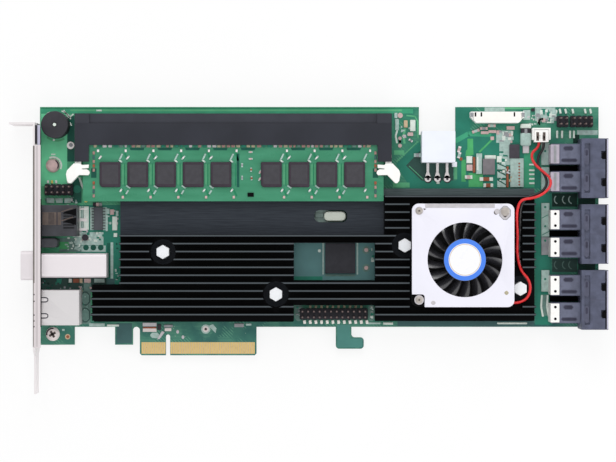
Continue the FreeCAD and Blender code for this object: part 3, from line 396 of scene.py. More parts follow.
black_route = [(14.2, 82.5, 2.9), (14.2, 79.8, 2.9), (11.6, 76.2, 2.5), (11.4, 72.0, 3.2),
               (14.4, 67.8, 5.4), (15.2, 63.8, 8.0), (12.8, 60.4, 10.9), (9.0, 58.9, 12.2),
               (5.4, 57.6, 12.1), (3.3, 54.6, 11.7), (2.8, 50.6, 10.2), (3.0, 45.2, 8.4),
               (2.6, 37.5, 7.2), (2.8, 29.0, 6.5), (4.4, 23.4, 6.0), (7.0, 20.6, 5.8),
               (7.8, 16.4, 5.7), (6.2, 12.7, 5.9), (2.7, 11.0, 6.4), (-0.1, 11.0, 6.4)]


def fan_lead(name, route, finish):
    curve = bpy.data.curves.new(name, "CURVE")
    curve.dimensions = "3D"
    spline = curve.splines.new("NURBS")
    spline.points.add(len(route) - 1)
    for point, (x, y, z) in zip(spline.points, route):
        point.co = (*place(fan_side + x, y, z), 1.0)
    spline.order_u = 3
    spline.use_endpoint_u = True
    curve.resolution_u = 10
    curve.bevel_depth = lead_diameter / 2
    curve.bevel_resolution = 5
    curve.use_fill_caps = True
    curve.materials.append(finish)
    lead = bpy.data.objects.new(name, curve)
    bpy.context.scene.collection.objects.link(lead)
    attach(lead, "card")
    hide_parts("fan_" + name)
    x, y, z = route[-1]
    return lead


fan_lead("lead_red", red_route, red_vinyl)
fan_lead("lead_black", black_route, black_vinyl)
print("two leads, from the plug to the fan")

# %% [markdown]
# Most fine parts are small moulded or plated bodies with softened edges. `slab` adds one box with
# bevelled edges to a bmesh, and `turned` spins a profile round an upright axis. The same box could
# be drawn point by point, but a cube and the bevel operator make it in two calls.

# %% Helpers for shapes


def mark(faces, number):
    for face in faces:
        face.material_index = number


def rounded(bm, edges, width, segments):
    """Rounds these edges, width in mm."""
    return bmesh.ops.bevel(bm, geom=edges, offset=width * MM, offset_type="OFFSET",
                           segments=segments, profile=0.5, affect="EDGES", material=-1,
                           clamp_overlap=True)["verts"]


def slab(bm, x0, x1, y0, y1, z0, z1, bevel, paint=0, turn=0.0, segments=2):
    """A box in board millimetres, turned about its own upright axis, with bevelled edges."""
    low, high = place(x0, y0, z0), place(x1, y1, z1)
    matrix = Matrix.Translation((low + high) / 2) @ Matrix.Rotation(math.radians(turn), 4, "Z")
    matrix = matrix @ Matrix.Diagonal((*(high - low), 1.0))
    verts = bmesh.ops.create_cube(bm, size=1.0, matrix=matrix)["verts"]
    verts = rounded(bm, list({e for v in verts for e in v.link_edges}), bevel, segments)
    mark({f for v in verts for f in v.link_faces}, paint)


def turned(bm, x, y, profile, steps=32, paint=0):
    """Spins a profile of (radius, height) points in mm round an upright axis."""
    before = set(bm.faces)
    verts = [bm.verts.new(place(x + r, y, z)) for r, z in profile]
    edges = [bm.edges.new(pair) for pair in zip(verts, verts[1:])]
    bmesh.ops.spin(bm, geom=verts + edges, cent=place(x, y), axis=(0, 0, 1), dvec=(0, 0, 0),
                   angle=2 * math.pi, steps=steps, use_merge=True, use_duplicate=False)
    points = list({v for f in bm.faces if f not in before for v in f.verts})
    bmesh.ops.remove_doubles(bm, verts=points, dist=0.001 * MM)
    new = [f for f in bm.faces if f not in before]
    bmesh.ops.recalc_face_normals(bm, faces=new)
    mark(new, paint)


print("boxes and turned shapes can be made")

# %% [markdown]
# `finish_piece` makes a bmesh an object that rides on a body. `softened` copies a node, joins its
# loose triangles and rounds its sharp edges, because a moulded edge that catches no light looks
# like paper.

# %% Helpers for whole pieces
SHARP = 30.0
ROUNDED_SHARP = 25.0


def finish_piece(name, bm, finishes, body="card", sharp=SHARP, replaces=()):
    """Makes the bmesh an object at the origin that rides on a body."""
    mesh = bpy.data.meshes.new(name)
    bm.to_mesh(mesh)
    bm.free()
    for finish in finishes:
        mesh.materials.append(finish)
    mesh.shade_smooth()
    mesh.set_sharp_from_angle(angle=math.radians(sharp))
    piece = bpy.data.objects.new(name, mesh)
    bpy.context.scene.collection.objects.link(piece)
    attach(piece, body)
    if replaces:
        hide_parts(*replaces)
    print(name, len(mesh.polygons), "faces")
    return piece


def softened(name, names, width, finish, slot, body="card"):
    """A copy of one or more nodes whose sharp edges are rounded."""
    bm = bmesh.new()
    for n in names:
        bm.from_mesh(node[n].data)
    bmesh.ops.remove_doubles(bm, verts=bm.verts, dist=0.002 * MM)
    bmesh.ops.dissolve_limit(bm, angle_limit=math.radians(1.0), verts=bm.verts, edges=bm.edges)
    least = math.radians(SHARP)
    rounded(bm, [e for e in bm.edges if len(e.link_faces) == 2 and e.calc_face_angle(0.0) > least],
            width, 2)
    return finish_piece(name, bm, [finish], body, ROUNDED_SHARP, names)


print("pieces can be finished and softened")

# %% [markdown]
# Anodised aluminium is black with a faint blue cast and a fine grain from its extrusion. From above
# the tops of the fins catch the light as thin lines, the deep gaps between them stay black, and the
# flat deck and the ledge along the upper edge lie in between. One material paints all four by height
# and by place. The light line along each fin top is a painted highlight that fades to painted shade
# at the fin's sides, and the near-black of the gaps is painted shade. A picture of fins could be laid
# on it instead, but a pattern that is worked out stays sharp from any distance.

# %% Heatsink
sink_low, sink_high = span("heatsink")
fin_pitch, first_fin = 3.49, 3.0
deck_above, deck_ends = 40.6, 153.4
ledge = 3.2


def anodised():
    finish = Finish("anodised_black")
    zero = place(0, 0) / MM
    up = finish.axis("Y")

    def step(source, start, width, low=0.0, high=1.0):
        return finish.range(source, start, start + width, low, high)

    streaks = finish.noise(0.5, detail=4.0, stretch=(0.05, 1.0, 1.0))
    tops = step(finish.axis("Z"), sink_high[2] + zero.z - 0.6, 0.4)
    in_deck = step(up, zero.y + deck_above, 0.8)
    left_of_end = step(finish.axis("X"), zero.x + deck_ends, 0.6, 1.0, 0.0)
    on_ledge = step(up, zero.y + sink_high[1] - ledge, 0.3)
    # painted shade: the gaps between the fins are near-black
    gap_shade = finish.ramp(streaks, (0.3, shade(2, 2, 3)), (0.7, shade(5, 5, 7)))
    deck = finish.ramp(streaks, (0.3, shade(48, 52, 59)), (0.7, shade(60, 65, 72)))
    strip = finish.ramp(streaks, (0.3, shade(72, 84, 86)), (0.7, shade(92, 104, 106)))
    first = zero.y + sink_low[1] + first_fin
    across = finish.maths("FRACT", finish.maths("MULTIPLY_ADD", up, 1 / fin_pitch,
                                                0.5 - first / fin_pitch))
    across = finish.maths("ABSOLUTE", finish.maths("ADD", across, -0.5))
    # painted highlight: a light line along each fin top, fading to painted shade at the fin's sides
    fin_top_highlight = finish.ramp(across, (0.0, shade(98, 105, 110)), (0.04, shade(86, 93, 98)),
                        (0.09, shade(38, 42, 45)), (0.13, shade(14, 16, 18)))
    edge = finish.mix(finish.maths("MULTIPLY", streaks, 0.3), fin_top_highlight, shade(44, 49, 52))
    low = finish.mix(finish.maths("MULTIPLY", in_deck, left_of_end), gap_shade, deck)
    finish.colour(finish.mix(tops, finish.mix(on_ledge, low, strip), edge))
    finish.roughness(streaks, 0.42, 0.55)
    finish.bump(streaks, 0.01)
    return finish.gloss(specular=0.06)


dress(anodised(), "heatsink")
print("heatsink", *(round(sink_high[k] - sink_low[k], 1) for k in range(3)), "mm")

# %% [markdown]
# Nylon is nearly white and a little waxy, chip packages are dark grey epoxy, and the drive ports
# are a grey with a blue cast. The whites differ slightly: the fan's cover is cooler than the
# connectors.

# %% Moulded finishes
white_nylon = moulded("white_nylon", (248, 250, 255), rough=0.4, specular=0.35, vary=0.02,
                      patch=5.0)
warm_nylon = moulded("warm_nylon", (255, 253, 250), specular=0.35, vary=0.02, patch=4.0)
cool_nylon = moulded("cool_nylon", (240, 244, 255), specular=0.3, vary=0.02, patch=8.0)
cover_paint = moulded("cover_enamel", (240, 239, 250), rough=0.35, specular=0.35, vary=0.015,
                      patch=20.0)
black_moulding = moulded("black_moulding", (38, 37, 43), rough=0.5, specular=0.2, vary=0.15,
                         patch=12.0)
sounder_black = moulded("sounder_black", (52, 51, 57), rough=0.5, specular=0.25, vary=0.1,
                        patch=6.0)
socket_black = moulded("socket_black", (44, 46, 54), specular=0.22, patch=18.0)
jack_black = moulded("jack_black", (56, 57, 62), rough=0.4, specular=0.3, vary=0.25, patch=6.0)
package_grey = moulded("package_grey", (68, 64, 72), rough=0.55, specular=0.22, patch=3.0)
memory_package = moulded("memory_package", (58, 50, 59), rough=0.55, specular=0.22, patch=3.0)
window_black = moulded("window_black", (54, 54, 60), rough=0.55, specular=0.2, patch=3.0)
gull_grey = moulded("gull_grey", (80, 82, 88), rough=0.55, specular=0.22, vary=0.1, patch=3.0)
package_light = moulded("package_light", (124, 120, 124), rough=0.6, specular=0.2, vary=0.08,
                        patch=3.0)
port_grey = moulded("port_grey", (82, 86, 106), rough=0.5, specular=0.3, vary=0.18, patch=3.5)
port_dark = moulded("port_dark", (44, 44, 58), rough=0.55, specular=0.2, patch=4.0)
clip_grey = moulded("clip_grey", (178, 171, 184), rough=0.4, vary=0.08, patch=2.0)
rotor_black = moulded("rotor_black", (46, 46, 50), rough=0.22, specular=0.7, coat=0.6)
fan_black = moulded("fan_black", (14, 14, 16), rough=0.5, specular=0.15, vary=0.2)
pad_grey = moulded("thermal_pad", (150, 154, 158), rough=0.8, specular=0.2, vary=0.08, depth=0.03)
print("finishes:", len(bpy.data.materials))

# %% [markdown]
# Tin and nickel look white under a soft light, because they reflect the pale room. A low amount of
# metal with a pale colour gives that look from every side, where a full metal would turn black as
# it faces the dark.

# %% Plated finishes
steel = plated("nickel_steel", (236, 231, 232), rough=0.65, vary=0.05, stretch=(1.0, 0.08, 1.0),
               metallic=0.1)
shield_steel = plated("shield_steel", (228, 222, 225), rough=0.5, vary=0.03, grain=0.6,
                      metallic=0.35)
shell_steel = plated("shell_steel", (214, 211, 212), rough=0.5, vary=0.04, grain=0.6, metallic=0.35)
gold = plated("gold_plate", (218, 190, 124), rough=0.35, vary=0.08, stretch=(1.0, 0.2, 1.0),
              metallic=0.5)
pin_metal = plated("pin_metal", (116, 98, 96), rough=0.5, vary=0.2, metallic=0.2)
brass = plated("brass", (196, 170, 104), rough=0.35, vary=0.15)
copper = plated("copper_wire", (184, 112, 74), rough=0.4, vary=0.2)
can_metal = plated("can_metal", (196, 202, 192), rough=0.45, vary=0.08, metallic=0.4)
print("finishes:", len(bpy.data.materials))

# %% [markdown]
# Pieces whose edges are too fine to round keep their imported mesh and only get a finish.

# %% Finishes of the carried-over nodes
for finish, names in ((gold, ["edge_contacts"]), (pin_metal, ["header_pins"]),
                      (steel, ["bracket", "fan_shaft"]), (white_nylon, ["heatsink_spacers"]),
                      (brass, ["heatsink_nuts", "fan_bearing"]),
                      (pad_grey, ["processor_thermal_pad", "expander_thermal_pad"]),
                      (package_grey, ["processor_chip", "expander_chip"]), (copper, ["fan_stator"]),
                      (fan_black, ["fan_base"]), (warm_nylon, ["fan_plug"]),
                      (port_dark, ["drive_port_tongues", "external_port_insert",
                                   "network_jack_insert"])):
    dress(finish, *names)
print("carried-over nodes are dressed")

# %% [markdown]
# The other moulded and plated pieces get rounded edges, each with a width that suits its size. Only
# the latches name a body of their own, because everything else here stays on the card. The heatsink
# is held by four nylon pins with hexagon heads, drawn down on brass nuts, and their softened edges
# let the heads catch a rim of light. A Bevel modifier could do the same. The operator is used
# because it works on the joined copy at once.

# %% Rounded copies of moulded and plated pieces
for name, source, width, finish, slot, *body in (
        ("hexagon_pins", "heatsink_screws", 0.35, white_nylon, "nylon_white"),
        ("latch_of_left_end", "latch_left", 0.3, warm_nylon, "latch_white", "left_latch"),
        ("latch_of_right_end", "latch_right", 0.3, warm_nylon, "latch_white", "right_latch"),
        ("module_socket", "memory_socket", 0.2, socket_black, "black_plastic"),
        ("cover_plate", "fan_cover", 0.2, cover_paint, "fan_cover_white"),
        ("sounder", "buzzer", 0.35, sounder_black, "black_plastic"),
        ("line_jack", "serial_jack", 0.25, jack_black, "black_plastic"),
        ("pipe_housing", "led_housing", 0.4, jack_black, "black_plastic"),
        ("network_shell", "network_jack_shield", 0.1, shell_steel, "cage_steel"),
        ("cable_cage", "external_port_cage", 0.1, shield_steel, "cage_steel"),
        ("backup_connector", "power_connector", 0.3, cool_nylon, "connector_white"),
        ("ribbon_housing", "ribbon_connector", 0.25, warm_nylon, "connector_white"),
        ("plug_shroud", "fan_header", 0.2, warm_nylon, "connector_white"),
        ("strip_headers", "pin_headers", 0.15, black_moulding, "black_plastic"),
        ("crystal_can", "crystal", 0.5, can_metal, "can_silver"),
        ("window_package", "window_chip", 0.15, window_black, "chip_black"),
        ("gull_wing_chip", "leaded_chip", 0.1, gull_grey, "chip_black")):
    softened(name, [source], width, finish, slot, *body)
print("rounded copies are in place")

# %% [markdown]
# Two pieces have two finishes each. The lower chip beside the regulator has a paler package, and
# the clips of the top port are grey where the others are white. A second material on the same
# piece, chosen face by face, keeps them together.

# %% Pieces with two finishes
regulators = softened("regulator_packages", ["regulator_chips"], 0.15, package_grey, "chip_black")
regulators.data.materials.append(package_light)
between_chips = place(206, 0).x
for face in regulators.data.polygons:
    face.material_index = int(face.center.x < between_chips)
clips = softened("port_clips", ["drive_port_clips"], 0.15, warm_nylon, "screw_steel")
clips.data.materials.append(clip_grey)
top_port_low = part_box("drive_port_3")[0].y
for face in clips.data.polygons:
    face.material_index = int(face.center.y > top_port_low)
print("paler faces:", sum(face.material_index for face in regulators.data.polygons))

# %% [markdown]
# The three drive ports are alike, so one loop rounds them all.

# %% Housings of the drive ports
for k in (1, 2, 3):
    softened(f"port_housing_{k}", [f"drive_port_{k}"], 0.15, port_grey, "port_grey")

# %% [markdown]
# The memory module is its own small board with nine chips. Its varnish is a purer, flatter green
# than the card's, because an even copper plane lies below it. Its tracks are too thin to see one by
# one, so clouds that are stretched along the module stand for them.

# %% Memory module


def module_mask():
    finish = Finish("module_mask")
    bands = finish.noise(3.0, detail=2.0, stretch=(0.25, 1.0, 1.0))
    finish.colour(finish.ramp(bands, (0.3, shade(52, 132, 98)), (0.7, shade(64, 144, 110))))
    finish.roughness(finish.noise(5.0), 0.25, 0.36)
    finish.bump(finish.noise(0.8), 0.01)
    return finish.gloss(specular=0.35)


dress(module_mask(), "memory_board")
chip_names = [f"memory_chip_{k}" for k in range(1, 10)]
softened("memory_packages", chip_names, 0.5, memory_package, "chip_black")

# %% [markdown]
# The rotor is one moulding: a smooth cup with seventeen broad blades. Each blade is a small grid of
# vertices that is swept forward and twisted as it goes outwards, given a thickness, and then copied
# round the hub. Bending a grid by a formula gives all blades the same even twist, which is hard to
# model by hand.

# %% Fan rotor
rotor_low = span("fan_rotor")[0][2]
label_low, label_high = span("fan_label")
fan_x, fan_y = middle("fan_label")
hub_top = label_low[2]
hub_r, hub_wall = 9.45, 0.8
blade_count, blade_thickness = 17, 0.45
blade_root, blade_tip = hub_r - 0.2, 17.2
blade_width, blade_sweep = math.radians(14.5), math.radians(7.0)
blade_foot, blade_rise, blade_curl = 1.2, 3.9, 0.35


def fan_blade(bm, turn):
    """One broad blade at this angle: its face leans, and its outer end is swept back."""
    for vert in bmesh.ops.create_grid(bm, x_segments=6, y_segments=8, size=0.5)["verts"]:
        chord, outward = vert.co.x + 0.5, vert.co.y + 0.5
        radius = blade_root + outward * (blade_tip - blade_root)
        angle = turn + blade_width * (chord - 0.5) - blade_sweep * outward ** 1.8
        curl = blade_curl * math.sin(math.pi * chord)
        height = rotor_low + blade_foot + (blade_rise - 0.6 * outward) * chord + curl
        vert.co = place(fan_x + radius * math.cos(angle), fan_y + radius * math.sin(angle), height)


bm = bmesh.new()
for k in range(blade_count):
    fan_blade(bm, 2 * math.pi * k / blade_count)
bmesh.ops.recalc_face_normals(bm, faces=bm.faces)
bmesh.ops.solidify(bm, geom=bm.faces[:], thickness=blade_thickness * MM)
cup = [(hub_r - hub_wall, rotor_low), (hub_r, rotor_low), (hub_r, hub_top - 0.5),
       (hub_r - 0.15, hub_top - 0.15), (hub_r - 0.5, hub_top), (0.0, hub_top),
       (0.0, hub_top - hub_wall), (hub_r - hub_wall, hub_top - hub_wall),
       (hub_r - hub_wall, rotor_low)]
turned(bm, fan_x, fan_y, cup, steps=72)
finish_piece("bladed_rotor", bm, [rotor_black], "fan_wheel", replaces=["fan_rotor"])

# %% [markdown]
# The film label on the hub is white with a blue ring and a thin gold line inside it. It carries no
# print. The rings are colours by distance from the fan's axis, so they stay round at any size.

# %% Hub label
label_r = 9.2
ramp_reach = 10.0
white_r, gold_r, gap_r, blue_r = 0.0, 6.65, 6.9, 7.15


def ring_label():
    finish = Finish("hub_label")
    away = finish.add("ShaderNodeVectorMath", operation="DISTANCE")
    finish.feed(away, {0: finish.place, 1: place(fan_x, fan_y, hub_top) / MM})
    distance = finish.maths("DIVIDE", away.outputs["Value"], ramp_reach)
    white = shade(250, 250, 255)
    rings = ((white_r, white), (gold_r, shade(206, 178, 128)), (gap_r, white),
             (blue_r, shade(70, 132, 240)))
    finish.colour(finish.ramp(distance, *((r / ramp_reach, colour) for r, colour in rings),
                              smooth=False))
    finish.roughness(finish.noise(3.0), 0.25, 0.35)
    finish.bump(finish.noise(0.5), 0.005)
    return finish.gloss(specular=0.4, coat=0.2)


bm = bmesh.new()
disc = [(0.0, hub_top + 0.01), (label_r, hub_top + 0.01), (label_r, label_high[2]),
        (0.0, label_high[2])]
turned(bm, fan_x, fan_y, disc, steps=72)
finish_piece("hub_disc", bm, [ring_label()], "fan_wheel", replaces=["fan_label"])

# %% [markdown]
# A crowded board is mostly small things: copper areas under the varnish, solder pads, printed
# legend lines and parts with two soldered ends. All of them are painted by name from one list, so
# that a whole corner of the board can be one object. Each row below has the paint's short name, the
# finish's name, its screen colour, its roughness, its gloss, how much the colour varies, and the
# size of its clouds in mm.

# %% Paints for small parts
paints = {}
# painted light and shade among the paints: deep, slate, pane, seat and blue_dark are painted shade,
# lit is painted light, strip_black is a painted sheen, face is partly a painted highlight, and
# shadow, grey, halo, recess, void and black are painted shade at some places and plain colours at
# others
for word, name, colour, rough, specular, vary, patch in (
        ("light", "mask_over_copper", (96, 180, 132), 0.4, 0.2, 0.08, 6.0),
        ("bright", "mask_over_pour", (78, 172, 108), 0.4, 0.2, 0.08, 4.0),
        ("teal", "mask_over_inner_plane", (42, 126, 106), 0.4, 0.2, 0.1, 7.0),
        ("dark", "mask_over_laminate", (20, 84, 70), 0.4, 0.2, 0.15, 6.0),
        ("deep", "shaded_mask", (22, 56, 48), 0.45, 0.15, 0.2, 5.0),
        ("mint", "thin_mask", (172, 197, 190), 0.4, 0.3, 0.12, 1.6),
        ("legend", "legend_ink", (222, 232, 224), 0.6, 0.2, 0.06, 1.5),
        ("black", "part_black", (48, 45, 52), 0.5, 0.25, 0.15, 2.0),
        ("tan", "ceramic_tan", (204, 180, 148), 0.5, 0.3, 0.1, 1.5),
        ("brown", "ceramic_brown", (150, 84, 58), 0.5, 0.3, 0.15, 1.5),
        ("pink", "ceramic_pink", (208, 180, 178), 0.5, 0.3, 0.08, 1.5),
        ("grey", "part_grey", (150, 152, 156), 0.5, 0.3, 0.1, 2.0),
        ("yellow", "fresh_gold", (228, 204, 104), 0.4, 0.4, 0.08, 1.5),
        ("void", "hole_black", (10, 10, 12), 0.7, 0.05, 0.2, 1.5),
        ("slate", "mask_in_shade", (64, 99, 99), 0.4, 0.2, 0.08, 9.0),
        ("glow", "mask_between_chips", (84, 162, 120), 0.4, 0.2, 0.06, 4.0),
        ("face", "marked_and_lit_chip_top", (68, 67, 72), 0.6, 0.2, 0.1, 2.2),
        ("umber", "smoked_window", (86, 74, 68), 0.4, 0.4, 0.2, 3.0),
        ("blue_dark", "port_recess", (60, 60, 76), 0.6, 0.15, 0.15, 2.0),
        ("blue_light", "port_top", (104, 108, 128), 0.5, 0.3, 0.14, 3.0),
        ("ivory", "ribbon_ivory", (254, 250, 244), 0.45, 0.3, 0.02, 3.0),
        ("edge", "sheared_edge", (122, 116, 112), 0.6, 0.2, 0.1, 4.0),
        ("strip_black", "socket_strip", (56, 58, 66), 0.5, 0.22, 0.1, 9.0),
        ("pane", "mask_in_window", (93, 137, 138), 0.4, 0.2, 0.06, 9.0),
        ("mist", "mask_beside_parts", (104, 136, 128), 0.45, 0.2, 0.12, 2.0),
        ("shadow", "mask_under_inlet", (48, 78, 72), 0.45, 0.2, 0.08, 4.0),
        ("seat", "pin_seat", (30, 33, 38), 0.6, 0.1, 0.15, 3.0),
        ("recess", "dark_recess_and_painted_shadow", (76, 68, 66), 0.6, 0.2, 0.15, 1.5),
        ("halo", "pale_grey_and_painted_shade", (200, 196, 200), 0.45, 0.3, 0.06, 2.0),
        ("port_mid", "port_slope", (84, 86, 104), 0.55, 0.2, 0.12, 2.5),
        ("khaki", "dull_tin", (178, 170, 144), 0.5, 0.3, 0.12, 1.2),
        ("lit", "mask_with_painted_light", (112, 212, 162), 0.4, 0.2, 0.06, 6.0),
        ("under", "mask_by_vias", (36, 128, 90), 0.4, 0.2, 0.1, 2.0),
        ("rosy", "ceramic_rosy", (166, 132, 126), 0.5, 0.3, 0.12, 1.2),
        ("lush", "mask_at_top_edge", (64, 160, 122), 0.4, 0.2, 0.08, 5.0),
        ("mild", "mask_on_hook", (76, 132, 124), 0.4, 0.2, 0.06, 8.0),
        ("lilac", "cool_shade", (188, 186, 206), 0.4, 0.3, 0.04, 5.0)):
    paints[word] = moulded(name, colour, rough=rough, specular=specular, vary=vary, patch=patch)
paints["solder"] = plated("solder", (240, 234, 234), rough=0.4, vary=0.12, grain=0.6, metallic=0.2)
paints["satin"] = plated("satin_steel", (176, 169, 163), rough=0.45, vary=0.12, metallic=0.3)
paints["silver"] = plated("zinc_silver", (222, 212, 210), rough=0.45, vary=0.12, metallic=0.3)
paints["sheet"] = plated("bracket_sheet", (222, 214, 216), rough=0.6, vary=0.06,
                         stretch=(1.0, 0.06, 1.0), metallic=0.1)
paints["groove"] = plated("bracket_groove", (202, 194, 196), rough=0.6, vary=0.08,
                          stretch=(1.0, 0.06, 1.0), metallic=0.1)
paint_order = list(paints)


def painted_piece(name, bm, replaces=()):
    """A piece that may use all of the paints."""
    return finish_piece(name, bm, list(paints.values()), replaces=replaces)


print("paints:", len(paints))

# %% [markdown]
# A thin flat area is a polygon with a little thickness, so that it has a real edge. Lines, paths,
# arcs, dots and pads with cut corners are all made from it. Where areas lie over one another, the one
# with the higher z is seen.

# %% Flat shapes in one paint


def flat(bm, paint, *corners, z=0.03, thick=0.05):
    """A thin flat area through these corners, its top at height z above the board's face."""
    upper = [bm.verts.new(place(x, y, z)) for x, y in corners]
    lower = [bm.verts.new(place(x, y, z - thick)) for x, y in corners]
    faces = [bm.faces.new(upper), bm.faces.new(lower[::-1])]
    for i in range(len(corners)):
        faces.append(bm.faces.new((lower[i - 1], lower[i], upper[i], upper[i - 1])))
    bmesh.ops.recalc_face_normals(bm, faces=faces)
    mark(faces, paint_order.index(paint))


def area(bm, paint, x0, x1, y0, y1, z=0.03, thick=0.05):
    flat(bm, paint, (x0, y0), (x1, y0), (x1, y1), (x0, y1), z=z, thick=thick)


def strip(bm, paint, start, end, width, z=0.05):
    """A straight line of this width, such as a track or a printed line."""
    start, end = Vector(start), Vector(end)
    along = end - start
    side = Vector((-along.y, along.x)).normalized() * width / 2
    flat(bm, paint, start + side, start - side, end - side, end + side, z=z)


def path(bm, paint, points, width, z=0.05):
    """A bent line through these points."""
    for start, end in zip(points, points[1:]):
        strip(bm, paint, start, end, width, z)


def arc(bm, paint, x, y, radius, first, last, width, z=0.05, steps=6):
    turns = [math.radians(first + (last - first) * k / steps) for k in range(steps + 1)]
    path(bm, paint, [(x + radius * math.cos(a), y + radius * math.sin(a)) for a in turns], width, z)


def dot(bm, paint, x, y, radius, z=0.06, thick=0.05, sides=12):
    turns = [2 * math.pi * k / sides for k in range(sides)]
    flat(bm, paint, *[(x + radius * math.cos(a), y + radius * math.sin(a)) for a in turns], z=z,
         thick=thick)


def pill(bm, paint, x0, x1, y0, y1, z):
    """A flat area with its corners cut off."""
    c = 0.35 * min(x1 - x0, y1 - y0)
    flat(bm, paint, (x0 + c, y0), (x1 - c, y0), (x1, y0 + c), (x1, y1 - c), (x1 - c, y1),
         (x0 + c, y1), (x0, y1 - c), (x0, y0 + c), z=z)


print("flat shapes can be painted")

# %% [markdown]
# A chip resistor is a body between two soldered ends. Fields of tiny parts are strewn from a fixed
# seed, so that they look the same each time the script runs.

# %% Small parts with height


def block(bm, paint, *sizes, **options):
    """A bevelled box with one of the paints."""
    slab(bm, *sizes, paint=paint_order.index(paint), **options)


def lump(bm, paint, x0, x1, y0, y1, height=0.5, turn=0.0, base=0.0):
    """A low box on the board, such as a pad, a chip's foot or a capacitor."""
    block(bm, paint, x0, x1, y0, y1, base, base + height, bevel=min(0.12, height / 3), turn=turn,
          segments=1)


def part(bm, x, y, turn=0.0, length=1.8, width=0.9, height=0.5, body="black", ends="solder",
         base=0.0):
    """A chip resistor or capacitor: a body between two soldered ends."""
    aim = math.radians(turn)
    for side in (-1, 0, 1):
        px, py = x + side * 0.36 * length * math.cos(aim), y + side * 0.36 * length * math.sin(aim)
        half = (0.14 if side else 0.25) * length
        lump(bm, ends if side else body, px - half, px + half, py - width / 2, py + width / 2,
             height + (0.04 if side else 0.0), turn, base)


def crowd(bm, names, x0, x1, y0, y1, count, seed, small=0.4, large=1.3, base=0.0):
    """Small pads and parts strewn over an area, from a fixed seed."""
    dice = random.Random(seed)
    for _ in range(count):
        w, h = dice.uniform(small, large), dice.uniform(small, large)
        x, y = dice.uniform(x0, x1 - w), dice.uniform(y0, y1 - h)
        lump(bm, dice.choice(names), x, x + w, y, y + h, dice.uniform(0.08, 0.4), base=base)


print("small-part helpers paint with", len(paints), "finishes")

# %% [markdown]
# The upper left corner of the board is bright and nearly empty. Its varnish beside the bracket gets a
# lighter green, which is painted light against the shade of the tall parts round it. A light band of
# copper runs along the top edge. Printed arcs go round the sounder and round the head of the fixing
# screw. All of this could be part of the varnish's pattern, but flat shapes can be placed to a tenth
# of a millimetre.

# %% Varnish and print in the upper left corner
sounder_x, sounder_y = middle("buzzer")
sounder_top = span("buzzer")[1][2]
bm = bmesh.new()
area(bm, "under", 0.2, 167.0, 97.6, 98.15, z=0.04)
area(bm, "lush", 0.2, 167.0, 95.5, 98.3, z=0.03)
area(bm, "light", 13.6, 162.0, 96.5, 97.3, z=0.04)
# painted light: the varnish beside the bracket is painted lighter
area(bm, "lit", 0.6, 12.2, 60.5, 95.4, z=0.02)
area(bm, "legend", 25.2, 27.6, 96.5, 97.2, z=0.06)
arc(bm, "legend", sounder_x, sounder_y, 6.8, 118, 165, 0.5)
arc(bm, "legend", sounder_x, sounder_y, 6.9, 25, 72, 0.6)
arc(bm, "light", sounder_x, sounder_y, 6.8, 230, 300, 0.9)
path(bm, "legend", [(10.6, 97.0), (13.0, 93.6), (15.0, 95.3)], 0.6)
area(bm, "dark", 12.2, 15.4, 74.0, 94.4, z=0.04)
strip(bm, "legend", (13.3, 91.5), (14.2, 90.0), 0.6)
dot(bm, "solder", 13.7, 81.2, 1.7, z=0.5, thick=0.5)
dot(bm, "grey", 13.9, 81.4, 0.9, z=0.6, thick=0.2)
dot(bm, "legend", 6.2, 83.6, 0.5)
arc(bm, "legend", 5.8, 72.2, 3.8, -25, 115, 0.8)
strip(bm, "legend", (5.0, 77.2), (6.9, 77.2), 0.6)
dot(bm, "legend", sounder_x, sounder_y, 0.75, z=sounder_top + 0.06, thick=0.3)
print("areas and lines:", len(bm.faces), "faces")

# %% [markdown]
# The memory socket is not evenly black: its smooth upper band shines a little more than the rest, and
# this sheen is painted as a lighter grey.
# Left of its foot stand a few terminals, a row of pads and two round marks. Thin areas just above
# the plastic show the band, and the socket's own mesh stays as it is.

# %% Socket's flat band and the parts below it
socket_low, socket_high = span("memory_socket")
band_low, band_high = socket_high[1] - 4.2, socket_high[1] - 0.2
arm = 6.5
# painted sheen: the upper band's lighter grey
area(bm, "strip_black", socket_low[0] + arm, socket_high[0] - arm, band_low, band_high,
     z=socket_high[2] - 0.78)
for x0, x1 in ((socket_low[0] + 0.3, socket_low[0] + arm),
               (socket_high[0] - arm, socket_high[0] - 0.3)):
    area(bm, "strip_black", x0, x1, band_low, band_high, z=socket_high[2] + 0.02)
for x, paint in ((3.6, "solder"), (5.4, "yellow"), (7.3, "solder"), (12.6, "solder")):
    lump(bm, paint, x - 0.45, x + 0.45, 64.2, 65.6, 0.4)
for x0, x1 in ((3.0, 6.4), (7.2, 10.2), (10.9, 13.8)):
    lump(bm, "mint", x0, x1, 55.4, 57.6, 0.5)
crowd(bm, ("mint", "halo", "mist", "teal"), 1.6, 14.6, 55.0, 58.6, 18, seed=43)
area(bm, "dark", 13.9, 18.6, 55.5, 66.5)
area(bm, "light", 0.6, 2.0, 54.0, 63.0)
path(bm, "legend", [(17.6, 67.0), (19.0, 62.6), (20.2, 61.6)], 0.9)
dot(bm, "teal", 16.6, 61.6, 1.8, z=0.08)
dot(bm, "yellow", 20.6, 56.6, 0.9, z=0.5, thick=0.5)
painted_piece("upper_left_parts", bm)

# %% [markdown]
# The bracket's free edge is folded inwards over the jacks, which stiffens it and closes the gap to
# their shields. A black block in the corner below the flange is painted shadow, and a black line
# along the fold's inner edge is the fold's painted shadow on the jacks. One long bevelled bar makes
# the fold, because the sheet's inner side is hidden by the jacks.

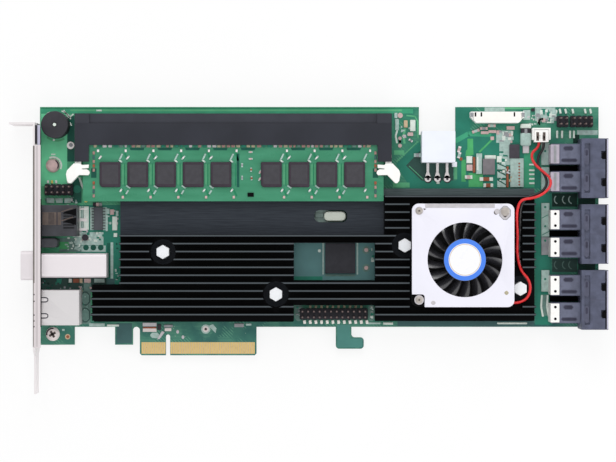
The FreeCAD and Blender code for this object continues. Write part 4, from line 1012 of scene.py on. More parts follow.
# %% Bracket's folded edge
flange = 9.4
_, bracket_high = span("bracket")
sheet_out, edge_top = bracket_high[0] - flange, bracket_high[2]
shell_top = max(span(n)[1][2] for n in ("network_jack_shield", "external_port_cage", "serial_jack"))
print("room above the jacks", round(edge_top - shell_top, 2))
bm = bmesh.new()
block(bm, "sheet", sheet_out + 0.04, 2.2, -8.6, 80.8, max(shell_top + 0.1, edge_top - 0.8),
      edge_top + 0.03, bevel=0.1)
area(bm, "groove", 0.2, 1.1, -8.0, 80.4, z=edge_top + 0.05)
area(bm, "edge", -0.75, -0.4, 20.0, 80.4, z=edge_top + 0.05)
area(bm, "edge", sheet_out + 0.05, sheet_out + 0.4, -8.0, 80.4, z=edge_top + 0.05)
# painted shadow: a black line along the fold's inner edge, on the jacks
area(bm, "void", 2.2, 2.65, 0.6, 57.0, z=edge_top - 0.1)
for y in (14.9, 12.0, 5.9, 3.3, 0.8):
    dot(bm, "black", -0.6, y, 0.3, z=edge_top + 0.07, sides=8)
# painted shadow: a black block in the corner below the flange
block(bm, "black", sheet_out + 0.9, 0.7, 81.4, 89.6, 2.0, edge_top - 0.1, bevel=0.3)
block(bm, "lilac", 0.8, 2.0, 80.8, 89.6, edge_top - 1.0, edge_top - 0.1, bevel=0.2)
painted_piece("bracket_edge", bm)

# %% [markdown]
# The column beside the bracket is crowded, because the jacks' own chips and coils stand there. Rows
# of pads stand at both sides of the leaded chip, and a few tall parts right of it. Parts of one row
# share a loop, so that a row is moved or raised in one place.

# %% Pads round the leaded chip
chip_low, chip_high = span("leaded_chip")
bm = bmesh.new()
area(bm, "teal", 16.0, 36.0, 19.0, 54.5)
for x0, x1 in ((16.6, 18.3), (19.6, 21.9)):
    lump(bm, "legend", x0, x1, 43.4, 53.9, 0.7)
lump(bm, "mint", 18.5, 19.5, 43.0, 54.0, 0.4)
for y0, y1 in ((43.0, 44.2), (47.2, 48.6), (52.4, 53.2)):
    lump(bm, "solder", 17.4, 21.0, y0, y1, 0.9)
area(bm, "mint", chip_low[0] - 0.7, chip_high[0] + 0.7, chip_low[1], chip_high[1], z=0.08)
for x, paint in ((24.4, "black"), (25.8, "pink"), (27.2, "grey")):
    lump(bm, paint, x - 0.7, x + 0.6, 53.9, 55.6, 0.5)
for x0, x1, y0, y1, paint in ((29.6, 31.2, 50.6, 53.0, "mint"), (31.4, 33.2, 50.2, 52.6, "pink"),
                              (29.4, 30.4, 42.8, 50.2, "mint"), (32.4, 34.6, 43.2, 49.4, "legend"),
                              (34.0, 35.2, 49.6, 52.0, "mint"), (33.0, 34.6, 40.2, 42.0, "legend")):
    lump(bm, paint, x0, x1, y0, y1, 0.5)
print("pads beside the jacks:", len(bm.faces), "faces")

# %% [markdown]
# Below the leaded chip lies a mottled field of capacitors, holes and short tracks, too small to
# tell apart at arm's length. Pale areas carry it, and strewn parts break them up.

# %% Field of small parts beside the jacks
area(bm, "mint", 15.8, 28.4, 36.6, 42.4, z=0.06)
crowd(bm, ("legend", "teal", "mint", "pink", "legend"), 15.8, 29.0, 37.8, 42.6, 34, seed=3)
dot(bm, "black", 20.3, 40.0, 1.5, z=1.2, thick=1.2, sides=8)
area(bm, "mist", 8.6, 18.6, 33.6, 39.8, z=0.04)
area(bm, "bright", 8.6, 13.0, 34.8, 38.0, z=0.05)
area(bm, "mint", 18.6, 29.4, 33.6, 36.4, z=0.06)
for x in (20.6, 23.9, 27.2):
    dot(bm, "dark", x, 35.5, 1.3, z=0.1)
crowd(bm, ("mint", "legend", "mint"), 11.0, 19.0, 33.8, 41.0, 26, seed=5)
crowd(bm, ("mint", "legend", "halo"), 17.0, 23.4, 39.8, 46.0, 14, seed=53)
crowd(bm, ("mint", "legend", "halo", "mist"), 29.6, 35.2, 45.6, 52.4, 12, seed=59)
crowd(bm, ("halo", "pink", "mist", "khaki"), 17.0, 23.4, 15.2, 21.0, 16, seed=61)
area(bm, "slate", 29.9, 33.4, 17.0, 21.6, z=0.1)
crowd(bm, ("mint", "halo", "mist"), 11.0, 16.8, 53.4, 58.6, 9, seed=67)
area(bm, "dark", 30.0, 31.4, 22.0, 37.5, z=0.08)
area(bm, "mint", 31.6, 32.8, 20.0, 37.8, z=0.08)
crowd(bm, ("mint", "teal", "dark"), 32.8, 35.6, 20.0, 40.0, 16, seed=7)
print("with the field:", len(bm.faces), "faces")

# %% [markdown]
# The board lies in the shade of the tall cage, so its varnish is darker there. Two long rounded
# pads stand beside the cage's lower half. Each is two flat pads, and the upper one is a little
# smaller, which gives the lower one a rim.

# %% Parts beside the cable cage
area(bm, "shadow", 0.6, 29.8, 16.4, 22.2, z=0.08)
crowd(bm, ("dark", "deep", "grey", "teal"), 1.0, 14.0, 16.8, 21.8, 18, seed=11)
for x, length, paint in ((8.6, 2.2, "teal"), (13.6, 1.4, "legend"), (16.2, 2.6, "brown"),
                         (18.4, 1.2, "tan"), (21.3, 3.0, "pink"), (26.6, 4.6, "mint")):
    lump(bm, paint, x - length / 2, x + length / 2, 19.8, 21.6, 0.6)
area(bm, "mist", 19.6, 22.8, 15.6, 19.6, z=0.12)
area(bm, "mist", 17.9, 22.6, 1.2, 16.2, z=0.08)
for y0, y1 in ((9.6, 15.8), (2.0, 8.6)):
    pill(bm, "shadow", 18.2, 22.4, y0, y1, 0.3)
    pill(bm, "mist", 18.7, 22.0, y0 + 0.5, y1 - 0.5, 0.35)
crowd(bm, ("teal", "mist", "grey", "shadow", "mint"), 17.9, 23.2, 1.2, 16.2, 30, seed=13)
painted_piece("bracket_side_parts", bm)

# %% [markdown]
# Along the lower edge there are a few parts between the heatsink and the edge contacts, and a
# plated hole in the left ear. A hole is two or three flat dots over one another, with the darkest
# on top.

# %% Parts above the edge contacts
bm = bmesh.new()
lump(bm, "halo", 46.0, 52.2, 0.2, 1.9, 0.5)
lump(bm, "silver", 46.0, 52.2, -2.2, -0.6, 0.5)
lump(bm, "brown", 46.2, 52.0, -0.7, 0.0, 0.7)
lump(bm, "black", 52.6, 54.2, -1.4, 1.2, 0.7)
flat(bm, "halo", (52.4, -5.6), (53.6, -5.4), (55.8, -2.4), (54.6, -1.8), z=0.2)
lump(bm, "grey", 55.6, 59.4, -0.2, 1.0, 0.6)
lump(bm, "silver", 55.8, 58.8, -1.9, -0.5, 0.5)
pill(bm, "mint", 49.4, 53.4, -5.0, -2.6, 0.08)
for x, y in ((61.6, -2.2), (64.0, -4.6)):
    pill(bm, "halo", x - 0.6, x + 0.6, y - 0.8, y + 0.8, 0.1)
dot(bm, "mint", 74.2, -1.0, 2.1)
dot(bm, "silver", 74.2, -1.0, 1.4, z=0.12)
dot(bm, "recess", 74.2, -1.0, 0.6, z=0.16)
flat(bm, "mint", (75.4, 0.4), (78.6, -2.8), (79.0, -0.6), (77.4, 1.2), z=0.06)
lump(bm, "grey", 87.0, 91.2, -0.1, 1.5, 0.6)
lump(bm, "mint", 92.2, 94.6, 0.6, 1.5, 0.3)
dot(bm, "tan", 12.4, -4.4, 1.2)
dot(bm, "brown", 12.4, -4.4, 0.7, z=0.08)
lump(bm, "mint", 9.9, 11.0, -1.8, -0.9, 0.2)
lump(bm, "legend", 30.0, 35.4, 0.2, 1.1, 0.3)
lump(bm, "mint", 22.0, 29.0, 0.3, 1.6, 0.2)
lump(bm, "legend", 153.6, 158.0, 1.0, 2.0, 0.4)
lump(bm, "mint", 146.0, 152.4, 1.2, 2.0, 0.2)
print("parts on the lower edge:", len(bm.faces), "faces")

# %% [markdown]
# On the second ear, on the hook behind the contacts and below the heatsink's edge the varnish is
# bluer. On the hook it is varnish with no copper under it, and the slate areas are painted shade. The
# edge contacts stand on bare laminate, which shows as a tan line between them. A thin area in another
# paint is enough for each, since a varnish has no edge that could be felt.

# %% Varnish along the lower edge
# painted shade: the slate areas
area(bm, "slate", 160.0, 221.0, 0.3, 2.7, z=0.05)
lump(bm, "legend", 204.6, 218.0, 1.2, 2.0, 0.3)
area(bm, "slate", 34.3, 41.2, -7.4, 1.6, z=0.04)
area(bm, "mild", 133.0, 138.8, -9.2, 1.0, z=0.03)
area(bm, "mild", 138.8, 144.3, -9.2, -5.2, z=0.03)
edge_low, edge_high = span("edge_contacts")
for x0, x1 in ((edge_low[0], 56.2), (58.4, edge_high[0])):
    area(bm, "tan", x0, x1, edge_low[1], edge_high[1], z=0.02, thick=0.01)
print("with the varnish:", len(bm.faces), "faces")

# %% [markdown]
# The long header's pins are bent over to the board on both sides. One foot belongs to each pair of
# pins, at a pitch of a tenth of an inch, and all feet lean by a few degrees. A bent tube would be
# truer, but from above a foot shows only as a small leaning block.

# %% Feet of the long header
PITCH = 2.54
feet, first_foot, lean = 12, 118.4, 8
long_header = span("pin_headers")[0][1]
for k in range(feet):
    x = first_foot + PITCH * k
    lump(bm, "ivory", x - 0.6, x + 0.6, long_header - 1.9, long_header - 0.3, 0.7, turn=lean)
    if 0 < k < feet - 1:
        lump(bm, "khaki", x - 0.5, x + 0.5, long_header + 5.1, long_header + 6.3, 0.7, turn=-lean)
pill(bm, "mist", 113.9, 117.6, 2.6, 10.4, 0.05)
pill(bm, "mist", 147.0, 149.7, 2.6, 10.0, 0.05)
crowd(bm, ("mint", "teal", "grey"), 114.6, 117.2, 3.2, 9.4, 6, seed=17)
crowd(bm, ("mint", "teal", "grey", "legend"), 147.4, 149.6, 3.2, 9.4, 9, seed=19)
painted_piece("lower_edge_parts", bm)

# %% [markdown]
# Through the heatsink's openings the board shows again: one chip with its printed frame and two
# capacitors in the window, and a pad beside the crystal's can in the deck's slot. The board in the
# window gets a greyer tone of the varnish, which is painted shade. The pad in the slot is painted
# pale enough to show through the slot's shade, which is painted light. A black strip along the
# heatsink's lower edge is its painted shadow on the board. Dark round seats lie in the heatsink round
# its four pins, and their dark grey is painted shade on the floors of the pin pockets.

# %% Parts seen through the heatsink
window_low, window_high = span("window_chip")
can_left = span("crystal")[0][0]
pin_seat = 6.04
bm = bmesh.new()
# painted shadow: black strips along the heatsink's lower edge
area(bm, "void", sink_low[0] + 0.4, 113.4, sink_low[1] - 0.6, sink_low[1] + 1.0, z=0.1)
area(bm, "void", 150.0, sink_high[0] - 0.4, sink_low[1] - 0.3, sink_low[1] + 1.0, z=0.1)
cover_left = span("fan_cover")[0][0]
# painted shade: dark grey seats on the floors of the pin pockets
for x, y in ((55.5, 33.6), (cover_left - 60.1, 14.8), (cover_left - 2.9, 36.5),
             (fan_side + 3.2, 17.3)):
    dot(bm, "seat", x, y, 5.7, z=sink_high[2] - pin_seat, sides=16)
# painted shade: a greyer tone of the varnish deep in the window
area(bm, "pane", 113.6, 149.8, 19.6, 37.8, z=0.02)
area(bm, "teal", 113.8, window_low[0] - 1.2, 20.6, 22.6, z=0.04)
for x in (window_low[0] - 0.9, window_high[0] + 0.9):
    strip(bm, "mint", (x, window_low[1] - 0.5), (x, window_high[1] + 0.5), 0.7)
strip(bm, "mist", (window_low[0], window_low[1] - 0.9), (window_high[0], window_low[1] - 0.9), 0.8)
dot(bm, "legend", window_low[0] - 2.6, window_high[1] - 3.4, 0.7)
for y in (26.4, 34.4):
    dot(bm, "mist", 146.0, y, 1.8, z=0.06)
    dot(bm, "pink", 146.0, y, 0.9, z=0.5, thick=0.5)
crowd(bm, ("mint", "teal", "legend"), 147.2, 149.6, 28.5, 36.5, 7, seed=23)
# painted light: the pad in the slot is painted pale to show through the shade
area(bm, "mint", 122.5, 129.0, 46.4, 52.4, z=0.02)
lump(bm, "mint", can_left - 4.0, can_left - 0.2, 48.9, 50.9, 0.5)
painted_piece("window_parts", bm)

# %% [markdown]
# To the right of the socket a dark diamond in the varnish is edged by a wide lighter band, and
# small parts and thin tracks run down the board beside it. The diamond is a dark area laid over a
# lighter one, so that the band round it needs no outline of its own.

# %% Parts between the socket and the power inlet
bm = bmesh.new()
dot(bm, "pink", 161.2, 94.6, 1.2, z=0.5, thick=0.5)
lump(bm, "mint", 158.6, 160.0, 93.4, 95.8, 0.3)
lump(bm, "mint", 158.9, 160.6, 88.0, 93.0, 0.4)
lump(bm, "tan", 162.8, 164.5, 89.2, 92.4, 0.7)
lump(bm, "legend", 165.6, 168.0, 87.6, 92.6, 0.8)
lump(bm, "pink", 164.6, 167.0, 85.4, 87.0, 0.6)
path(bm, "legend", [(160.0, 88.4), (159.2, 85.4), (159.8, 82.2)], 0.8)
path(bm, "light", [(163.6, 88.8), (162.6, 85.6), (163.2, 82.0)], 1.0)
dot(bm, "pink", 161.1, 84.4, 0.8, z=0.3, thick=0.3)
dot(bm, "void", 161.1, 82.9, 0.6, z=0.3, thick=0.3)
dot(bm, "pink", 161.1, 81.1, 0.9, z=0.3, thick=0.3)
part(bm, 165.9, 83.4, turn=-35, length=2.0, width=1.0, body="grey")
crowd(bm, ("mint", "halo", "legend"), 161.4, 167.4, 84.4, 90.0, 12, seed=71)
path(bm, "light", [(164.0, 94.6), (167.8, 94.2), (169.0, 92.0), (169.2, 84.6)], 0.6)
flat(bm, "teal", (159.4, 73.0), (169.6, 82.6), (172.0, 80.8), (163.8, 72.2), (170.8, 65.4),
     (187.0, 65.4), (188.6, 62.0), (165.8, 62.0))
flat(bm, "shadow", (163.8, 72.2), (170.4, 79.0), (171.6, 74.6), (185.0, 73.6), (185.0, 65.5),
     (170.8, 65.5), z=0.04)
path(bm, "light", [(159.6, 74.0), (169.4, 83.2)], 0.4)
path(bm, "light", [(165.2, 72.0), (171.6, 66.0)], 0.3)
area(bm, "light", 158.4, 163.0, 77.0, 79.0, z=0.04)
area(bm, "light", 158.0, 165.4, 62.4, 64.6, z=0.04)
part(bm, 168.9, 76.8, length=3.2, width=1.7, height=0.7, body="grey", ends="mint")
lump(bm, "legend", 177.4, 178.8, 64.0, 64.9, 0.3)
area(bm, "light", 185.4, 186.7, 66.0, 71.6, z=0.05)
painted_piece("inlet_side_parts", bm)

# %% [markdown]
# The power inlet stands on three tinned leads. Each ends in a round soldered foot with a hole, and a
# black disc below each foot shows round it as painted shadow. The imported leads are plain boxes.
# These flat shapes with real thickness take their place, because the flared feet need a finer
# outline.

# %% Leads of the power inlet
inlet_low, inlet_high = span("power_connector")
inlet_middle = (inlet_low[0] + inlet_high[0] - 1.2) / 2
lead_pitch = 4.3
bm = bmesh.new()
for k in (-1, 0, 1):
    x, y = inlet_middle + k * lead_pitch, inlet_low[1]
    lump(bm, "solder", x - 0.6, x + 0.6, y - 2.4, y + 2.0, 0.8)
    flat(bm, "solder", (x - 0.5, y - 2.0), (x + 0.5, y - 2.0), (x + 1.4, y - 5.0),
         (x - 1.4, y - 5.0), z=0.7, thick=0.7)
    # painted shadow: a black disc below each foot, showing round it
    dot(bm, "black", x + 0.2, y - 5.6, 1.6, z=0.1, sides=16)
    dot(bm, "solder", x, y - 5.2, 1.45, z=0.7, thick=0.7, sides=16)
    dot(bm, "black", x + 0.1, y - 5.3, 0.55, z=0.74, thick=0.1)
painted_piece("inlet_leads", bm, replaces=["power_connector_leads"])

# %% [markdown]
# The upper right of the board feeds the card with power, so wide copper pours carry the current
# there. Each pour shows as a brighter patch in the varnish. As separate shapes the pours keep the
# sharp corners that clouds in a material would lose.

# %% Copper pours of the power supply
bm = bmesh.new()
area(bm, "teal", 185.8, 192.6, 86.6, 98.2)
area(bm, "mint", 199.0, 208.0, 96.4, 98.2, z=0.05)
area(bm, "light", 208.0, 221.0, 97.4, 98.2, z=0.05)
area(bm, "teal", 186.4, 224.0, 62.0, 88.0, z=0.02)
path(bm, "lush", [(185.6, 83.0), (191.8, 86.4), (202.0, 86.2)], 2.2)
flat(bm, "bright", (191.3, 84.2), (193.8, 84.2), (194.0, 77.0), (190.4, 76.0), (190.6, 78.6),
     (191.3, 79.6), z=0.06)
strip(bm, "bright", (202.4, 83.9), (196.6, 78.2), 0.8, z=0.08)
lump(bm, "pink", 201.6, 203.2, 83.6, 85.2, 0.3)
area(bm, "bright", 188.6, 190.6, 65.0, 74.8, z=0.06)
area(bm, "bright", 191.8, 198.2, 62.6, 68.8, z=0.06)
area(bm, "lush", 216.6, 221.3, 62.4, 79.0, z=0.06)
area(bm, "mint", 205.6, 210.4, 72.4, 82.4, z=0.06)
area(bm, "mint", 204.2, 211.4, 82.4, 87.8, z=0.05)
print("pours:", len(bm.faces), "faces")

# %% [markdown]
# Round the two regulator chips stand capacitors and resistors in many sizes, from slim ones that
# lie askew to broad ones with pale ceramic bodies. The helper `part` builds each from three boxes,
# and a lump is enough where the ends can't be told from the body.

# %% Parts left of the regulators
for x, y, turn, body in ((195.0, 87.6, 20, "mint"), (198.6, 88.8, 0, "grey"),
                         (202.2, 90.0, 0, "mint"), (202.4, 87.4, 0, "pink"),
                         (199.0, 86.9, 0, "pink")):
    part(bm, x, y, turn=turn, length=3.4, width=1.3, height=0.7, body=body, ends="pink")
for y, body in ((79.4, "pink"), (76.8, "mint")):
    part(bm, 187.6, y, turn=75, length=2.8, width=1.3, height=0.7, body=body)
lump(bm, "brown", 187.8, 189.0, 74.4, 75.8, 0.7)
lump(bm, "legend", 190.8, 193.4, 73.2, 76.4, 0.9)
lump(bm, "pink", 190.9, 193.5, 69.8, 72.6, 0.9)
lump(bm, "brown", 193.7, 194.8, 69.0, 76.0, 0.9)
lump(bm, "mint", 195.2, 197.8, 68.4, 77.6, 0.8)
lump(bm, "legend", 195.3, 196.2, 70.0, 76.0, 0.9)
lump(bm, "legend", 199.0, 204.0, 75.1, 76.8, 0.5)
lump(bm, "legend", 204.4, 206.6, 73.6, 76.4, 0.5)
crowd(bm, ("legend", "grey", "pink", "mint", "legend"), 203.6, 212.0, 82.2, 88.2, 26, seed=29,
      small=0.7, large=2.2)
lump(bm, "pink", 208.8, 212.4, 88.2, 89.8, 0.5)
crowd(bm, ("mint", "legend", "teal"), 205.4, 210.2, 72.4, 82.0, 18, seed=31, small=0.6, large=1.8)
print("with the small parts:", len(bm.faces), "faces")

# %% [markdown]
# The largest parts of the corner are fat capacitors with brown bodies, and a long pale block of
# resistors with a row of eight solder points. The parts of a row share their height and their
# paint, so loops set them out.

# %% Fat capacitors and the long resistor block
lump(bm, "brown", 208.7, 209.7, 62.4, 71.8, 0.8)
for y0, y1 in ((62.4, 65.6), (66.6, 69.6), (70.4, 73.0)):
    lump(bm, "mint", 204.6, 208.4, y0, y1, 0.7)
    strip(bm, "dark", (204.8, y1 + 0.2), (208.4, y0 + 1.2), 0.5, z=0.74)
lump(bm, "mint", 210.4, 216.4, 62.5, 75.4, 1.0)
for k in range(8):
    dot(bm, "brown", 214.4, 63.6 + 1.35 * k, 0.42, z=1.04)
for y in (64.2, 66.2, 68.2, 70.0, 72.6):
    lump(bm, "legend", 218.9, 221.3, y - 0.35, y + 0.45, 0.4)
for x, y in ((199.7, 66.1), (200.6, 63.3)):
    part(bm, x, y, length=6.0 if y > 65 else 4.4, width=1.7, height=0.7, body="brown",
         ends="legend")
part(bm, 191.8, 67.0, length=3.4, width=1.7, height=0.7, body="pink", ends="legend")
print("with the capacitors:", len(bm.faces), "faces")

# %% [markdown]
# The last field of strewn parts lies between the ribbon connector and the headers. A bent wire
# stands over the fan's plug, and the headers' feet lie above and below their bodies. Strewn parts
# are used only where the real ones are too small and too many to name.

# %% Parts round the fan's plug and the headers
area(bm, "mint", 221.6, 230.6, 92.2, 98.2, z=0.05)
crowd(bm, ("mint", "grey", "legend", "mint", "teal"), 221.8, 231.6, 91.0, 98.0, 44, seed=37,
      small=0.8, large=2.4)
lump(bm, "black", 219.8, 221.4, 96.4, 97.8, 0.6)
lump(bm, "mint", 216.2, 219.4, 92.6, 97.0, 0.3)
crowd(bm, ("mint", "legend", "halo"), 217.6, 223.6, 90.0, 96.0, 13, seed=73)
crowd(bm, ("legend", "khaki", "halo"), 205.2, 211.2, 64.8, 71.2, 12, seed=79, base=1.0)
arc(bm, "void", 224.6, 91.6, 1.5, 70, 230, 0.9, z=0.9)
lump(bm, "pink", 224.6, 226.2, 91.6, 93.4, 0.6)
for x in (232.7, 235.2, 238.4, 243.9, 246.3):
    lump(bm, "legend", x - 0.4, x + 0.5, 95.4, 97.6, 0.6, turn=12)
for x in (231.4, 233.6, 237.2, 238.9):
    lump(bm, "legend", x - 0.45, x + 0.45, 84.4, 87.8, 0.6)
area(bm, "mint", 240.4, 249.6, 85.9, 88.0, z=0.08)
area(bm, "deep", 238.6, 241.4, 82.2, 86.0, z=0.09)
painted_piece("power_supply_parts", bm)

# %% [markdown]
# The diode is a pale barrel with a dark band round it and a grey stripe on the band. Large bevels
# on four boxes give its rounded form, and a pale foot lies below it.

# %% Round-ended diode
(x0, y0, _), (x1, y1, rise) = span("diode")
bm = bmesh.new()
block(bm, "mint", x0, x1, y0, y1 - 3.6, 0.0, rise, bevel=1.0, segments=4)
block(bm, "black", x0 + 0.2, x1 - 0.2, y1 - 4.6, y1 - 2.0, 0.0, rise - 0.1, bevel=0.5, segments=3)
block(bm, "grey", x0 + 1.7, x1 - 1.7, y1 - 4.6, y1 - 2.2, 0.1, rise + 0.05, bevel=0.4)
block(bm, "legend", x0, x1, y1 - 2.2, y1, 0.0, rise - 0.2, bevel=0.8, segments=3)
lump(bm, "halo", x0 + 1.2, x1 - 0.9, y0 - 3.2, y0 + 0.5, 1.2)
painted_piece("round_diode", bm, replaces=["diode"])

# %% [markdown]
# Long pale blocks of resistors stand between the heatsink and the drive ports, and curved marks lie
# in the varnish between the ports. The dark ground under the marks is painted shade from the tall
# ports. Each mark is an arc of six short strips, which is round enough at its size.

# %% Resistors beside the drive ports
bm = bmesh.new()
area(bm, "teal", 221.6, 229.0, 1.0, 60.0, z=0.02)
for y0, y1 in ((72.4, 82.2), (60.6, 71.4), (40.4, 55.4), (15.8, 25.4)):
    lump(bm, "mint", 224.3, 227.9, y0, y1, 0.9)
lump(bm, "grey", 224.3, 227.9, 32.2, 40.2, 0.8)
for y in (78.6, 53.6, 45.0, 38.6, 21.4):
    dot(bm, "teal", 226.0, y, 0.5, z=0.94)
for y in (49.6, 42.0):
    strip(bm, "teal", (224.4, y - 1.0), (227.8, y + 0.8), 0.3, z=0.94)
for x in (224.6, 227.2):
    path(bm, "legend", [(x, 14.2), (x - 0.3, 9.0), (x + 0.5, 4.6)], 0.8, z=0.1)
area(bm, "mist", 224.4, 227.6, 5.0, 14.4, z=0.06)
# painted shade: the dark ground between the ports under the curved marks
for low, ground, line in ((54.4, "deep", "mint"), (25.2, "shadow", "mist")):
    area(bm, ground, 229.2, 240.4, low - 0.6, low + 5.4, z=0.05)
    for x in (230.6, 234.2, 237.0):
        arc(bm, line, x + 1.6, low + 2.6, 2.0, 130, 250, 0.5, z=0.1)
painted_piece("port_side_parts", bm)

# %% [markdown]
# Each drive port has two towers, one for each cable, and a broad mouth. The towers' tops have two
# long hollows each, and the mouth has a groove, a seam and two square notches. The hollows are a
# slope and a darker floor, drawn as one flat pad over another, and the floor's darkness is painted
# shade. The black area between the two towers and the dark varnish between one port and the next are
# painted shade too. Two dark holes mark each clip of the lower ports. Cutting them into the housing
# would take many more faces for something so shallow.

# %% Marks on the drive ports
tower_top = 9.42
mouth_depth = 11.9
clip_offset = 11.1
hollows = ((7.6, 3.0, 6.0, 8.2), (8.6, 1.3, 0.9, 2.7))
notch_half = 1.5
bm = bmesh.new()
for k in (1, 2, 3):
    (_, low, _), (front, high, top) = span(f"drive_port_{k}")
    rear = front - mouth_depth
    clip_x = rear - clip_offset
    for tower in (low + 2.7, low + 14.9):
        if k < 3:
            for y in (tower + 2.0, tower + 7.2):
                dot(bm, "void", clip_x, y, 0.6, z=tower_top + 0.54)
        else:
            lump(bm, "grey", clip_x - 0.7, clip_x + 0.4, tower + 0.8, tower + 8.4, 0.1,
                 base=tower_top + 0.46)
        area(bm, "blue_light", rear - 8.9, rear - 0.1, tower + 0.3, tower + 8.9, z=tower_top + 0.02)
        # painted shade: the darker floor of each hollow
        for inset, paint, z in ((0.0, "port_mid", 0.05), (0.35, "blue_dark", 0.08)):
            for left, right, y0, y1 in hollows:
                pill(bm, paint, rear - left + inset, rear - right - inset, tower + y0 + inset,
                     tower + y1 - inset, tower_top + z)
    # painted shade: black between the two towers
    area(bm, "void", rear - 12.6, rear + 0.3, low + 12.0, low + 14.8, z=0.12)
    # painted shade: dark varnish between one port and the next
    if k < 3:
        area(bm, "deep", rear + 0.3, front - 4.0, high, span(f"drive_port_{k + 1}")[0][1], z=0.06)
    for y0, y1 in ((3.0, 10.6), (14.6, 22.0)):
        pill(bm, "port_mid", rear + 1.2, rear + 3.4, low + y0, low + y1, top + 0.02)
        pill(bm, "blue_dark", rear + 1.8, rear + 2.8, low + y0 + 4.0, low + y1 - 0.8, top + 0.04)
    seam = middle(f"drive_port_{k}")[1]
    area(bm, "port_mid", rear + 3.8, front - 1.4, seam - 0.2, seam + 0.2, z=top + 0.02)
    area(bm, "void", front - 1.35, front - 0.75, low + 0.4, high - 0.4, z=top + 0.02)
    for y in (low + 6.6, low + 18.6):
        area(bm, "void", front - 2.8, front - 1.2, y - notch_half, y + notch_half, z=top + 0.04)
    area(bm, "lilac", front - 0.7, front - 0.05, low + 0.3, high - 0.3, z=top + 0.02)
painted_piece("port_marks", bm)

# %% [markdown]
# On the memory module small tilted parts stand in the gaps between the chips, always in the same
# pattern. Short darker lines in the varnish join them to the chips. One list holds the pattern, and
# one function repeats it beside each chip.

# %% Small parts between the memory chips
module_low, module_high = span("memory_board")
deck = module_high[2]
tilted = [(0.2, 2.4, 2.8, 64, "mint"), (-0.1, 0.4, 1.9, -35, "legend"),
          (3.2, 1.9, 2.2, 48, "solder"), (0.1, -1.4, 1.8, 55, "solder"),
          (2.9, -2.2, 2.0, 58, "mint"), (3.4, 0.2, 2.1, -33, "mint")]
tiny = {"width": 0.75, "height": 0.35, "base": deck}


def beside_chip(bm, k):
    """What stands on and right of one chip: the lighter middle of its top, partly marking and partly
    a painted highlight, lines, tilted parts and pads.
    """
    (x0, y0, _), (x1, y1, top) = span(f"memory_chip_{k}")
    middle_or_end = k in (5, 9)
    if not middle_or_end:
        area(bm, "glow", x1 + 0.5, x1 + 2.7, y0 + 1.2, y1 - 1.0, z=deck + 0.02)
    # partly marking, partly painted highlight: the lighter middle of the chip's top
    area(bm, "face", x0 + 1.1, x1 - 0.9, y0 + 1.4, y1 - 1.2, z=top + 0.02)
    if k < 9:
        strip(bm, "under", (x1 + 1.9, y1 + 4.0), (x1 + 2.9, y1 + 0.6), 0.9, z=deck + 0.02)
        strip(bm, "under", (x1 + 0.7, y0 - 0.6), (x1 + 2.3, y0 - 4.0), 0.9, z=deck + 0.02)
        strip(bm, "under", (x1 + 1.8, y1 - 0.6), (x1 + 1.8, y0 + 0.6), 0.5, z=deck + 0.03)
    for dx, dy, length, turn, body in tilted:
        edge = y1 if dy > 0.9 or turn == -35 else y0
        if not (middle_or_end and dx > 1):
            part(bm, x1 + dx, edge + dy, turn=turn, length=length, body=body, ends="mint", **tiny)
    lump(bm, "solder", x1 + 1.8, x1 + 2.7, y1 + 4.4, y1 + 5.6, 0.4, base=deck)
    lump(bm, "pink", x1 + 0.5, x1 + 1.5, y0 - 5.0, y0 - 3.8, 0.4, base=deck)
    if k < 9:
        flat(bm, "dark", (x1 + 4.0, y1 + 6.4), (x1 + 10.6, y1 + 6.4), (x1 + 10.2, y1 + 5.2),
             (x1 + 4.4, y1 + 5.2), z=deck + 0.02)


bm = bmesh.new()
for k in range(1, 10):
    beside_chip(bm, k)
(first_left, _, _), (_, first_top, _) = span("memory_chip_1")
lump(bm, "solder", first_left - 1.2, first_left - 0.2, first_top + 4.4, first_top + 5.6, 0.4,
     base=deck)
part(bm, first_left + 0.2, first_top + 2.0, turn=50, body="solder", **tiny)
print("between the chips:", len(bm.faces), "faces")

# %% [markdown]
# A column of resistors stands at each end of the module, and a cluster of parts fills the wide gap
# in its middle. A small black chip lies below the cluster. The cluster has no order, so its parts
# are a list of places measured from the gap's middle.

# %% Resistors at the module's ends and in its middle
column = ("rosy", "slate", "rosy", "brown")
for x in (module_low[0] + 4.8, module_high[0] - 3.6):
    area(bm, "dark", x - 1.2, x + 1.2, module_low[1] + 10.4, module_low[1] + 14.6, z=deck + 0.02)
    for step in range(11):
        y = module_low[1] + 2.4 + 1.9 * step
        if not 9.5 < y - module_low[1] < 12.5:
            lump(bm, column[step % 4], x - 0.5, x + 0.5, y - 0.7, y + 0.7, 0.4, base=deck)
(_, low_y, _), (left_x, _, _) = span("memory_chip_5")
middle_x = (left_x + span("memory_chip_6")[0][0]) / 2 + 0.4
for dx, dy, turn, body in ((1.6, 15.6, 0, "pink"), (1.6, 12.6, 0, "pink"), (-2.2, 9.8, 90, "grey"),
                           (1.8, 7.8, 90, "brown"), (5.8, 6.8, 60, "pink"), (-2.2, 4.2, 90, "grey"),
                           (2.0, 4.0, 90, "brown"), (5.6, 3.6, 60, "pink")):
    part(bm, middle_x + dx, low_y + dy, turn=turn, length=1.9, width=0.8, height=0.35, body=body,
         ends="mint", base=deck)
lump(bm, "void", middle_x + 0.2, middle_x + 3.0, low_y - 4.2, low_y - 2.4, 0.5, base=deck)
area(bm, "dark", middle_x - 4.6, middle_x - 3.4, low_y, low_y + 15, z=deck + 0.02)
painted_piece("module_parts", bm)

# %% [markdown]
# The socket's springs touch the module's contacts along its lip. From above they are a fine uneven
# row of tin, shade and varnish, so the row is strewn with short blocks from a fixed seed.

